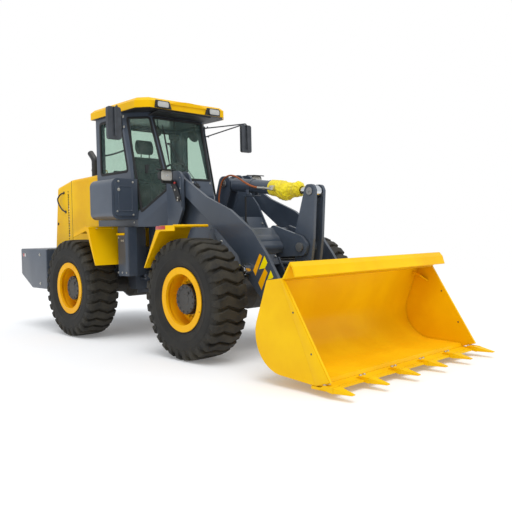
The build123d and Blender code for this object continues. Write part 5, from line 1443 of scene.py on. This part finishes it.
@dataclass
class Cab:
    """Window seals, wiper, roof lining, lamp housings, interior and fittings of the cab."""

    front: float = -0.300
    belt: float = 2.050
    lean: float = 0.296
    pane_half: float = 0.370
    spread: float = 0.061
    facet: float = 1.03
    half: float = 0.700
    back: float = -1.550
    head_low: float = 2.955
    pillar: float = 0.062

    def pane(self, y: float, z: float, out: float = 0.0) -> Vector:
        """Give a point of the front glass line.

        Args:
            y: its place across.
            z: its height.
            out: distance ahead of the skin.

        Returns:
            The point.
        """
        seam = self.pane_half + self.spread * (z - self.belt)
        x = self.front - self.lean * (z - self.belt) - self.facet * max(0.0, abs(y) - seam)
        if abs(y) > seam:
            return Vector((x + out * 0.72, y + out * 0.70 * (1 if y > 0 else -1), z))
        return Vector((x + out, y, z))

    def seals(self) -> None:
        """Lay a rubber seal round each pane."""
        form = Form()
        low, high = self.belt + 0.080, self.head_low
        halves = [self.pane_half + self.spread * (z - self.belt) - 0.022 for z in (low, high)]
        corners = [self.pane(-halves[0], low), self.pane(halves[0], low), self.pane(halves[1], high),
                   self.pane(-halves[1], high)]
        form.gasket(corners, 0.034, 0.004, -0.010, (1, 0, 0.28), 0.035)
        for _, side in SIDES:
            rows = []
            for z in (1.99, high):
                seam = self.pane_half + self.spread * (z - self.belt)
                rows.append((self.pane(side * (seam + 0.020), z), self.pane(side * (self.half - 0.046), z)))
            foot = self.pane(side * (self.half - 0.046), 1.70)
            outline = [rows[0][0], foot, rows[-1][1], rows[-1][0]]
            form.gasket(outline, 0.030, 0.004, -0.010, (0.70, side * 0.70, 0.18), 0.035)
        rear = [(self.back, y, z) for y, z in ((-0.59, 2.24), (0.59, 2.24), (0.59, high), (-0.59, high))]
        form.gasket([Vector(p) for p in rear], 0.034, 0.004, -0.010, (-1, 0, 0), 0.05)
        foot = 2.24
        pillar = [self.front - self.lean * (z - self.belt)
                  - self.facet * (self.half - self.pane_half - self.spread * (z - self.belt))
                  - self.pillar for z in (foot, high)]
        side = [(-1.440, -self.half, foot), (pillar[0], -self.half, foot), (pillar[1], -self.half, high),
                (-1.440, -self.half, high)]
        form.gasket([Vector(p) for p in side], 0.036, 0.004, -0.010, (0, -1, 0), 0.05)
        form.place("window_seals", "rear_body", Finish.SEAL)
        door = Form()
        low = 1.56 + 0.18
        rail = 0.070
        bottom = [(-1.360 + rail, self.half, low), (self.sill(0.7) - self.pillar - rail, self.half, low),
                  (pillar[1] - rail, self.half, high - rail), (-1.360 + rail, self.half, high - rail)]
        door.gasket([Vector(p) for p in bottom], 0.030, 0.004, -0.006, LEFT, 0.05)
        door.place("door_seal", "door", Finish.SEAL)

    def sill(self, y: float) -> float:
        """Give x of the lower front panel at a place across."""
        return -0.260 - 0.78 * max(0.0, y - self.pane_half)

    def lining(self) -> None:
        """Close the roof's underside in black round the cab, and house the lamps."""
        form = Form()
        plan = [(-1.600, -0.735), (-0.480, -0.735), (-0.335, -0.610), (-0.335, 0.610), (-0.480, 0.735),
                (-1.600, 0.735)]
        form.prism([(x, y, 3.0265) for x, y in plan], (0, 0, 0.003), 0.001)
        form.prism([(-0.590, -0.460, 2.975), (-0.380, -0.440, 3.010), (-0.380, 0.440, 3.010),
                    (-0.590, 0.460, 2.975)],
                   (0, 0, 0.018), 0.004)
        for _, side in SIDES:
            y = side * 0.430
            shape = [(y - side * 0.150, 3.030), (y - side * 0.112, 3.128), (y + side * 0.100, 3.132),
                     (y + side * 0.118, 3.030)]
            form.prism([(-0.322, a, b) for a, b in shape], (0.018, 0, 0), 0.005)
            form.pad((-0.320, y, 3.078), ((0.0, 0.205, 0.098, 0.026), (0.032, 0.196, 0.092, 0.026),
                                          (0.038, 0.190, 0.086, 0.024), (0.038, 0.176, 0.074, 0.022),
                                          (0.030, 0.172, 0.072, 0.022)), caps=False)
        form.place("roof_lining", "rear_body", Finish.PLASTIC)
        glass = Form()
        for _, side in SIDES:
            glass.pad((-0.300, side * 0.430, 3.078),
                      ((0.0, 0.170, 0.070, 0.020), (0.012, 0.166, 0.068, 0.020),
                       (0.016, 0.140, 0.050, 0.016)))
        glass.place("roof_lamp_lenses", "rear_body", Finish.LAMP)

    def wiper(self) -> None:
        """Mount the wiper: motor, double arm and blade on the centre pane."""
        form = Form()
        base = self.pane(0.075, 2.050, 0.030)
        knee = self.pane(-0.255, 2.600, 0.034)
        form.lathe([(-0.020, 0.028), (0.014, 0.028), (0.020, 0.022)], base, (1, 0, 0.28), 24)
        form.block((base.x - 0.045, 0.020, 2.018), (base.x + 0.006, 0.135, 2.046), 0.006)
        for shift in (-0.016, 0.016):
            side = Vector((0, shift, shift * 0.55))
            form.pipe([base + side, base.lerp(knee, 0.5) + side + Vector((0.008, 0, 0.002)),
                       knee + side * 0.6], 0.0045, 8)
        form.block((knee.x - 0.010, knee.y - 0.024, knee.z - 0.012),
                   (knee.x + 0.008, knee.y + 0.024, knee.z + 0.012), 0.004)
        top = self.pane(-0.286, 2.858, 0.016)
        foot = self.pane(-0.300, 2.300, 0.016)
        form.pipe([top, top.lerp(foot, 0.25) + Vector((0.010, 0, 0)),
                   top.lerp(foot, 0.5) + Vector((0.014, 0, 0)), top.lerp(foot, 0.75) + Vector((0.010, 0, 0)),
                   foot], (0.003, 0.006, 0.007, 0.006, 0.003), 8)
        blade = [self.pane(-0.286, 2.862, 0.006), self.pane(-0.300, 2.296, 0.006)]
        form.prism([blade[0] + Vector((0, -0.003, 0)), blade[0] + Vector((0, 0.003, 0)),
                    blade[1] + Vector((0, 0.003, 0)), blade[1] + Vector((0, -0.003, 0))], (0.010, 0, 0),
                    0.001)
        form.place("wiper", "rear_body", Finish.PLASTIC)

    def rails(self) -> None:
        """Add the inside grab bars, the outside handrails and the door's handle and lock."""
        inside = Form()
        y = -0.640
        inside.pipe(smooth_path([(-1.420, y, 2.520), (-1.380, y + 0.030, 2.520), (-1.10, y + 0.035, 2.535),
                                 (-0.84, y + 0.030, 2.560), (-0.800, y, 2.600)]), 0.012, 12)
        inside.place("grab_bars", "rear_body", Finish.PLASTIC)
        handle = Form()
        handle.block((-0.890, 0.7005, 1.880), (-0.760, 0.722, 1.960), 0.008)
        handle.pipe(smooth_path([(-0.900, 0.712, 1.925), (-0.895, 0.752, 1.925), (-0.850, 0.756, 1.925),
                                 (-0.790, 0.752, 1.925), (-0.775, 0.712, 1.925)]), 0.009, 12)
        handle.lathe([(0, 0.013), (0.004, 0.013)], (-0.825, 0.722, 1.895), LEFT, 20)
        handle.place("door_handle", "door", Finish.PLASTIC)
        rail = Form()
        for x, bends, radius in (
                (-1.462, ((0.700, 1.700), (0.765, 1.705), (0.768, 1.760), (0.768, 2.300), (0.768, 2.640),
                          (0.765, 2.695), (0.700, 2.700)), 0.014),
                (-0.590, ((0.800, 1.360), (0.868, 1.365), (0.872, 1.300), (0.872, 1.000), (0.868, 0.935),
                          (0.800, 0.930)), 0.012)):
            rail.pipe(smooth_path([(x, y, z) for y, z in bends]), radius, 12)
        rail.place("handrails", "rear_body", Finish.PLASTIC)

    def fittings(self) -> None:
        """Bolt the mirrors' brackets and panels, and dress the air unit's cover and the cab's foot."""
        zinc = Form()
        for _, side in SIDES:
            for z in (2.965, 2.83):
                zinc.bolt((-0.805 + (3.0 - z) * 0.12, side * 0.7145, z), (0, side, 0), 0.013, 0.010)
            for x, z in ((-1.50, 1.62), (-1.50, 2.10), (-0.62, 1.56)):
                zinc.bolt((x, side * 0.7005, z), (0, side, 0), 0.010, 0.007)
        for y, z in ((-0.775, 2.075), (-0.775, 1.655), (-0.985, 2.080), (-1.010, 1.700)):
            zinc.bolt((-0.518, y, z), AHEAD, 0.010, 0.007)
        zinc.lathe([(0, 0.020), (0.006, 0.020), (0.008, 0.017)], (-0.518, -0.985, 1.975), AHEAD, 24)
        zinc.block((-0.512, -0.992, 1.955), (-0.500, -0.978, 1.995), 0.003)
        for y in (-0.30, 0.0, 0.30):
            zinc.bolt((self.sill(abs(y)) + 0.0005, y, 2.085), AHEAD, 0.010, 0.006)
        zinc.place("cab_bolts", "rear_body", Finish.ZINC)
        ridge = Form()
        ridge.pad((-0.5185, -0.885, 1.860), ((0.0, 0.215, 0.330, 0.030), (0.005, 0.208, 0.323, 0.028),
                                             (0.005, 0.190, 0.305, 0.022), (0.0, 0.183, 0.298, 0.020)),
                                             caps=False)
        ridge.place("air_unit_panel", "rear_body", Finish.GREY)
        strip = Form()
        for _, side in SIDES:
            low, high = flank(side, 0.700, 0.712)
            strip.block((-1.540, low, 1.478), (-0.640, high, 1.506), 0.004)
        strip.place("cab_foot_strips", "rear_body", Finish.PLASTIC)
        bars = Form()
        nuts = Form()
        for _, side in SIDES:
            low, high = flank(side, 0.840, 0.852)
            bars.block((-0.830, low, 1.395), (-0.640, high, 1.425), 0.003)
            for x, z in ((-0.79, 1.385), (-0.72, 1.345), (-0.68, 1.345)):
                nuts.bolt((x, side * 0.840, z - 0.02), (0, side, 0), 0.011, 0.009)
        bars.place("side_bars", "rear_body", Finish.YELLOW)
        nuts.place("side_box_bolts", "rear_body", Finish.ZINC)

    def inside(self) -> None:
        """Furnish the cab: headrest, inner mirror, fans, screen, levers and console."""
        form = Form()
        seat_x, floor = -1.080, 1.550
        for y in (-0.07, 0.07):
            form.pipe([(seat_x - 0.300, y, floor + 0.96), (seat_x - 0.312, y, floor + 1.10)], 0.008, 8)
        form.block((seat_x + 0.02, -0.400, floor + 0.001), (seat_x + 0.42, -0.250, floor + 0.540), 0.030, 4)
        for x, lean in ((seat_x + 0.30, 0.03), (seat_x + 0.36, 0.05)):
            form.pipe([(x, -0.330, floor + 0.52), (x + lean * 0.5, -0.330, floor + 0.62),
                       (x + lean, -0.330, floor + 0.70)], 0.007, 8)
            form.lathe([(0, 0.010), (0.010, 0.020), (0.035, 0.022), (0.050, 0.012), (0.054, 0.004)],
                       (x + lean, -0.330, floor + 0.69), (lean, 0, 0.2), 20)
        for y, z in ((-0.300, 2.800), (0.330, 2.780)):
            form.lathe([(-0.020, 0.030), (0.000, 0.078), (0.012, 0.084), (0.022, 0.078)], (-0.640, y, z),
                       (-0.3, 0, -0.1), 28)
            form.pipe([(-0.620, y, z), (-0.610, y, z + 0.10), (-0.630, y, 2.990)], 0.007, 8)
        form.block((-0.640, -0.110, 2.690), (-0.615, 0.070, 2.770), 0.012, 3)
        form.pipe([(-0.625, -0.02, 2.76), (-0.625, -0.02, 2.98)], 0.006, 8)
        form.block((-0.560, -0.560, 2.200), (-0.530, -0.390, 2.320), 0.008)
        form.pipe([(-0.545, -0.475, 2.200), (-0.545, -0.475, 2.020), (-0.500, -0.475, 1.960)], 0.010, 8)
        form.block((-0.480, -0.360, 1.985), (-0.330, 0.360, 2.045), 0.020, 3)
        form.place("cab_fittings", "rear_body", Finish.PLASTIC)
        rest = Form()
        rings = []
        for share in [i / 10 for i in range(11)]:
            z = floor + 1.03 + 0.20 * share
            swell = math.sin(math.pi * min(max(share, 0.02), 0.98)) ** 0.35
            rings.append(rounded_box((seat_x - 0.315 - 0.02 * share, 0, z), LEFT, AHEAD,
                                     0.28 * (0.75 + 0.25 * swell), 0.10 * swell + 0.01, 0.03 * swell + 0.004))
        rest.loft(rings)
        piece = rest.place("headrest", "rear_body", Finish.SEAT, 60.0)

    def build(self) -> None:
        """Build the cab's pieces."""
        self.seals()
        self.lining()
        self.wiper()
        self.rails()
        self.fittings()
        self.inside()


@dataclass
class Hood:
    """Vents drawn as painted shade, handle, seams, hinges, lifting eye and exhaust fittings of the hood."""

    half: float = 0.620
    top: float = 2.278
    seam: float = -2.487
    stack: Flat = (-2.330, -0.300)

    def seams(self) -> None:
        """Draw the seam, and the row of vents on both sides as black blocks of painted shade."""
        dark = Form()
        for _, side in SIDES:
            low, high = flank(side, self.half - 0.001, self.half + 0.0012)
            dark.plate([(self.seam - 0.004, 1.340), (self.seam + 0.004, 1.340),
                        (self.seam + 0.004, self.top - 0.030), (self.seam - 0.004, self.top - 0.030)], low,
                        high, 0.0)
            # painted shade: black blocks stand for the shade inside the vent slots
            low, high = flank(side, self.half - 0.006, self.half + 0.0016)
            for i in range(19):
                dark.block((-2.615, low, 1.350 + 0.0404 * i), (-2.590, high, 1.371 + 0.0404 * i), 0.002)
        dark.place("hood_seams_and_vent_shade", "rear_body", Finish.SEAL)

    def handles(self) -> None:
        """Bend a handle on each side."""
        handles = Form()
        for _, side in SIDES:
            handles.pipe(smooth_path([(-2.741, side * 0.615, 2.078), (-2.760, side * 0.660, 2.070),
                                      (-2.850, side * 0.668, 2.010), (-2.867, side * 0.670, 1.975),
                                      (-2.830, side * 0.668, 1.900), (-2.710, side * 0.660, 1.790),
                                      (-2.694, side * 0.615, 1.779)]), 0.011, 12)
            for x, z in ((-2.741, 2.078), (-2.694, 1.779)):
                handles.lathe([(0, 0.024), (0.004, 0.024), (0.006, 0.020)], (x, side * self.half, z),
                              (0, side, 0), 24)
        handles.place("hood_handles", "rear_body", Finish.PLASTIC)

    def eyes(self) -> None:
        """Stand the lifting eyes on the top."""
        eye = Form()
        for y in (-0.42, 0.42):
            rings = []
            for turn in full_turn(24):
                centre = Vector((-1.786 + 0.030 * math.cos(turn), y, 2.325 + 0.030 * math.sin(turn)))
                out = Vector((math.cos(turn), 0, math.sin(turn)))
                rings.append([centre + out * 0.009 * math.cos(t) + Vector((0, 0.009 * math.sin(t), 0))
                              for t in full_turn(10)])
            eye.loft(rings, caps=False, around=True)
            eye.block((-1.825, y - 0.022, 2.276), (-1.747, y + 0.022, 2.290), 0.004)
        eye.place("lifting_eyes", "rear_body", Finish.YELLOW)

    def exhaust(self) -> None:
        """Add the exhaust's foot, its clamp and its bolts."""
        pipe = Form()
        x, y = self.stack
        pipe.lathe([(0, 0.076), (0.006, 0.076), (0.010, 0.060), (0.030, 0.052)], (x, y, self.top), UP, 40)
        pipe.lathe([(0, 0.0495), (0, 0.053), (0.024, 0.053), (0.024, 0.0495)], (x, y, 2.40), UP, 40,
                   caps=False)
        for i in range(4):
            turn = math.pi / 4 + i * math.pi / 2
            pipe.bolt((x + 0.064 * math.cos(turn), y + 0.064 * math.sin(turn), 2.284), UP, 0.008, 0.007)
        pipe.place("exhaust_fittings", "rear_body", Finish.BLACK)

    def latches(self) -> None:
        """Add the locks, the hinges and the top catch."""
        latch = Form()
        for _, side in SIDES:
            latch.lathe([(0, 0.022), (0.004, 0.022), (0.006, 0.018)], (-2.96, side * self.half, 1.60),
                        (0, side, 0), 28)
            low, high = flank(side, 0.624, 0.632)
            latch.block((-2.965, low, 1.590), (-2.955, high, 1.610), 0.002)
            low, high = flank(side, 0.619, 0.629)
            for z in (1.45, 2.10):
                latch.block((-1.720, low, z - 0.03), (-1.680, high, z + 0.03), 0.003)
        latch.block((-1.690, -0.36, 2.276), (-1.640, -0.28, 2.344), 0.006)
        latch.place("hood_latches", "rear_body", Finish.PLASTIC)

    def build(self) -> None:
        """Build the hood's pieces."""
        self.seams()
        self.handles()
        self.eyes()
        self.exhaust()
        self.latches()


@dataclass
class RearEnd:
    """Reflectors, bolts, towing jaw and lamps of the counterweight, and bolts of the rear fenders."""

    half: float = 1.100
    back: float = -3.340

    def weight(self) -> None:
        """Shape the rear weight, which stands for the plain solid."""
        weight = Form()
        weight.loft([rounded_box((x, 0, (low + high) / 2), LEFT, UP, 2 * half, high - low, radius)
                     for x, half, low, high, radius in (
                         (-2.400, 1.090, 0.630, 1.210, 0.020), (-2.410, 1.100, 0.620, 1.2195, 0.022),
                         (-2.660, 1.100, 0.620, 1.2195, 0.022), (-2.930, 1.096, 0.620, 1.2195, 0.022),
                         (-3.310, 1.088, 0.812, 1.2195, 0.022), (-3.332, 1.078, 0.826, 1.214, 0.022),
                         (-3.340, 1.060, 0.842, 1.200, 0.020))])
        piece = weight.place("rear_weight", "rear_body", Finish.GREY)
        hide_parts("counterweight")

    def lamps(self) -> None:
        """Add the reflectors, the marks and the indicators."""
        red = Form()
        white = Form()
        amber = Form()
        for _, side in SIDES:
            low, high = flank(side, 1.086, 1.094)
            red.plate([(-3.244, 1.097), (-3.188, 1.097), (-3.188, 1.145), (-3.244, 1.145)], low, high, 0.001)
            white.plate([(-3.187, 1.097), (-3.131, 1.097), (-3.131, 1.145), (-3.187, 1.145)], low, high,
                        0.001)
            red.pad((self.back + 0.018, side * 0.860, 0.985),
                    ((0.0, 0.13, 0.10, 0.02), (0.016, 0.126, 0.096, 0.02), (0.022, 0.10, 0.07, 0.02)),
                    ahead=-1)
            amber.pad((self.back + 0.018, side * 0.965, 0.985),
                      ((0.0, 0.07, 0.10, 0.02), (0.016, 0.066, 0.096, 0.02), (0.020, 0.05, 0.07, 0.015)),
                      ahead=-1)
        red.place("rear_lamps", "rear_body", Finish.RED)
        white.place("rear_marks", "rear_body", Finish.LAMP)
        amber.place("rear_indicators", "rear_body", Finish.TURN)

    def bolts(self) -> None:
        """Bolt the rear weight and the rear fenders."""
        steel = Form()
        for _, side in SIDES:
            for x, z in ((-2.62, 0.70), (-2.62, 1.13)):
                steel.bolt((x, side * self.half, z), (0, side, 0), 0.016, 0.012)
            for x in (-1.30, -1.00):
                for y in (0.80, 1.04):
                    steel.bolt((x, side * y, 1.490), UP, 0.010, 0.007)
            for i in range(3):
                steel.bolt((-0.620 - 0.10 * i, side * 0.8405, 0.905), (0, side, 0), 0.010, 0.007)
        steel.place("rear_bolts", "rear_body", Finish.ZINC)

    def jaw(self) -> None:
        """Add the towing jaw below the weight."""
        jaw = Form()
        jaw.block((self.back + 0.020, -0.080, 0.520), (self.back + 0.150, 0.080, 0.542), 0.006)
        jaw.block((self.back + 0.120, -0.080, 0.520), (self.back + 0.150, 0.080, 0.622), 0.006)
        jaw.lathe([(0, 0.016), (0.130, 0.016)], (self.back + 0.065, 0.0, 0.500), UP, 24)
        jaw.place("towing_jaw", "rear_body", Finish.BLACK)

    def build(self) -> None:
        """Build the rear end's pieces."""
        self.weight()
        self.lamps()
        self.bolts()
        self.jaw()


# ---------------------------------------------------------------- light, floor and camera
@dataclass
class Studio:
    """Pale floor, even light and the camera."""

    floor_half: float = 60.0
    fade: Flat = (7.0, 15.0)
    camera_at: Point = (6.4455, -5.1907, 1.3773)
    azimuth: float = 46.648
    elevation: float = 2.024
    roll: float = -1.174
    lens: float = 43.99
    sky: float = 0.82
    sun: float = 1.5

    def camera(self) -> None:
        """Create the camera."""
        turn, lift, roll = (math.radians(a) for a in (self.azimuth, self.elevation, self.roll))
        back = Vector((math.sin(turn) * math.cos(lift), -math.cos(turn) * math.cos(lift), math.sin(lift)))
        right = (-back).cross(Vector(UP)).normalized()
        up = right.cross(-back)
        across = right * math.cos(roll) + up * math.sin(roll)
        top = up * math.cos(roll) - right * math.sin(roll)
        data = bpy.data.cameras.new("camera")
        data.lens = self.lens
        data.sensor_width = 36.0
        data.clip_end = 200.0
        camera = bpy.data.objects.new("camera", data)
        turned = Matrix((across, top, back)).transposed().to_4x4()
        camera.matrix_world = Matrix.Translation(self.camera_at) @ turned
        bpy.context.scene.collection.objects.link(camera)
        bpy.context.scene.camera = camera

    def floor(self) -> None:
        """Lay the floor, which fades into the white around it."""
        form = Form()
        half = self.floor_half
        form.loft([[Vector((-half, -half, -0.001)), Vector((half, -half, -0.001))],
                   [Vector((-half, half, -0.001)), Vector((half, half, -0.001))]], closed=False, caps=False)
        mesh = bpy.data.meshes.new("floor")
        form.mesh.to_mesh(mesh)
        form.mesh.free()
        bench = Bench("floor_white")
        far = ((bench.x * bench.x + bench.y * bench.y) ** 0.5).ramp(*self.fade)
        mottle = bench.noise(0.8, 3.0).ramp(0.2, 0.8) * 0.02
        bench.finish(Base_Color=bench.blend(mottle, (0.93, 0.93, 0.93), (0.9, 0.9, 0.9)), Roughness=0.9)
        bench.shader.inputs["Specular IOR Level"].default_value = 0.0
        white = bench.node("ShaderNodeEmission", None, {"Color": (1.0, 1.0, 1.0), "Strength": 1.0})
        mixed = bench.node("ShaderNodeMixShader", None,
                           {0: far * 0.85 + 0.15, 1: Wire(bench, bench.shader.outputs[0]),
                                                        2: white})
        bench.feed(bench.tree.nodes["Material Output"].inputs["Surface"], mixed)
        mesh.materials.append(bench.material)
        floor = bpy.data.objects.new("floor", mesh)
        bpy.context.scene.collection.objects.link(floor)

    def light(self) -> None:
        """Set the sky and one broad lamp."""
        world = bpy.data.worlds.new("sky")
        world.use_nodes = True
        bpy.context.scene.world = world
        tree = world.node_tree
        tree.nodes.clear()
        path = tree.nodes.new("ShaderNodeLightPath")
        seen = tree.nodes.new("ShaderNodeMath")
        seen.operation = "MAXIMUM"
        tree.links.new(path.outputs["Is Camera Ray"], seen.inputs[0])
        tree.links.new(path.outputs["Is Transmission Ray"], seen.inputs[1])
        lit = tree.nodes.new("ShaderNodeBackground")
        lit.inputs["Color"].default_value = (0.93, 0.96, 1.0, 1.0)
        lit.inputs["Strength"].default_value = self.sky
        white = tree.nodes.new("ShaderNodeBackground")
        white.inputs["Color"].default_value = (1.0, 1.0, 1.0, 1.0)
        mixed = tree.nodes.new("ShaderNodeMixShader")
        out = tree.nodes.new("ShaderNodeOutputWorld")
        tree.links.new(seen.outputs[0], mixed.inputs[0])
        tree.links.new(lit.outputs[0], mixed.inputs[1])
        tree.links.new(white.outputs[0], mixed.inputs[2])
        tree.links.new(mixed.outputs[0], out.inputs[0])
        sun = bpy.data.lights.new("sun", "SUN")
        sun.energy = self.sun
        sun.angle = math.radians(38)
        lamp = bpy.data.objects.new("sun", sun)
        lamp.rotation_euler = Vector((0.55, -0.35, 1.6)).to_track_quat("Z", "Y").to_euler()
        bpy.context.scene.collection.objects.link(lamp)

    def build(self) -> None:
        """Build all of it."""
        self.camera()
        self.floor()
        self.light()
        bpy.context.scene.view_settings.view_transform = "Standard"


# ---------------------------------------------------------------- finishes of the frame's own nodes
NODE_FINISHES: dict[Finish, Sequence[str]] = {
    Finish.YELLOW: ("hood", "rear_fenders", "front_fenders", "cab_roof"),
    Finish.BUCKET: ("bucket", "bucket_edge"),
    Finish.RIM_FRONT: ("rim_front_left", "rim_front_right"),
    Finish.RIM_REAR: ("rim_rear_left", "rim_rear_right"),
    Finish.GREY: ("rear_frame", "front_frame", "nose_cover", "boom", "bell_crank", "tilt_link", "tilt_barrel",
                  "lift_barrels", "steer_barrel_left", "steer_barrel_right", "cab_frame", "cab_door",
                  "counterweight", "air_unit", "side_boxes"),
    Finish.BLACK: ("front_axle", "rear_axle", "exhaust_stack"),
    Finish.CAST: ("engine_block",),
    Finish.PLASTIC: ("rear_grille", "steering_column", "work_lamps"),
    Finish.MIRROR: ("mirrors",),
    Finish.STEEL: ("pivot_pins", "bucket_pins", "crank_pin", "link_pin"),
    Finish.CHROME: ("tilt_rod", "lift_rods", "steer_rod_left", "steer_rod_right"),
    Finish.GLASS: ("cab_glass", "door_glass"),
    Finish.LAMP: ("roof_lamps",),
    Finish.SEAT: ("driver_seat",),
    Finish.WRAP: ("tilt_wrap",),
    Finish.TYRE: ("tyre_front_left", "tyre_front_right", "tyre_rear_left", "tyre_rear_right"),
}


def dress_nodes() -> None:
    """Give each node of the frame its finish."""
    for finish, names in NODE_FINISHES.items():
        for name in names:
            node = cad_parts.get(name)
            if node is None:
                log.info("no node %s", name)
                continue
            if not node.material_slots:
                node.data.materials.append(finish.material())
            for place in node.material_slots:
                place.link = "OBJECT"
                place.material = finish.material()


def main() -> None:
    """Dress the nodes, build the pieces and set the scene."""
    Studio().build()
    dress_nodes()
    for assembly in (Wheels(), Bucket(), Boom(), TiltCylinder(), LiftCylinders(), FrontFrame(), Cab(), Hood(),
                     RearEnd()):
        assembly.build()


if __name__ == "__main__":
    main()
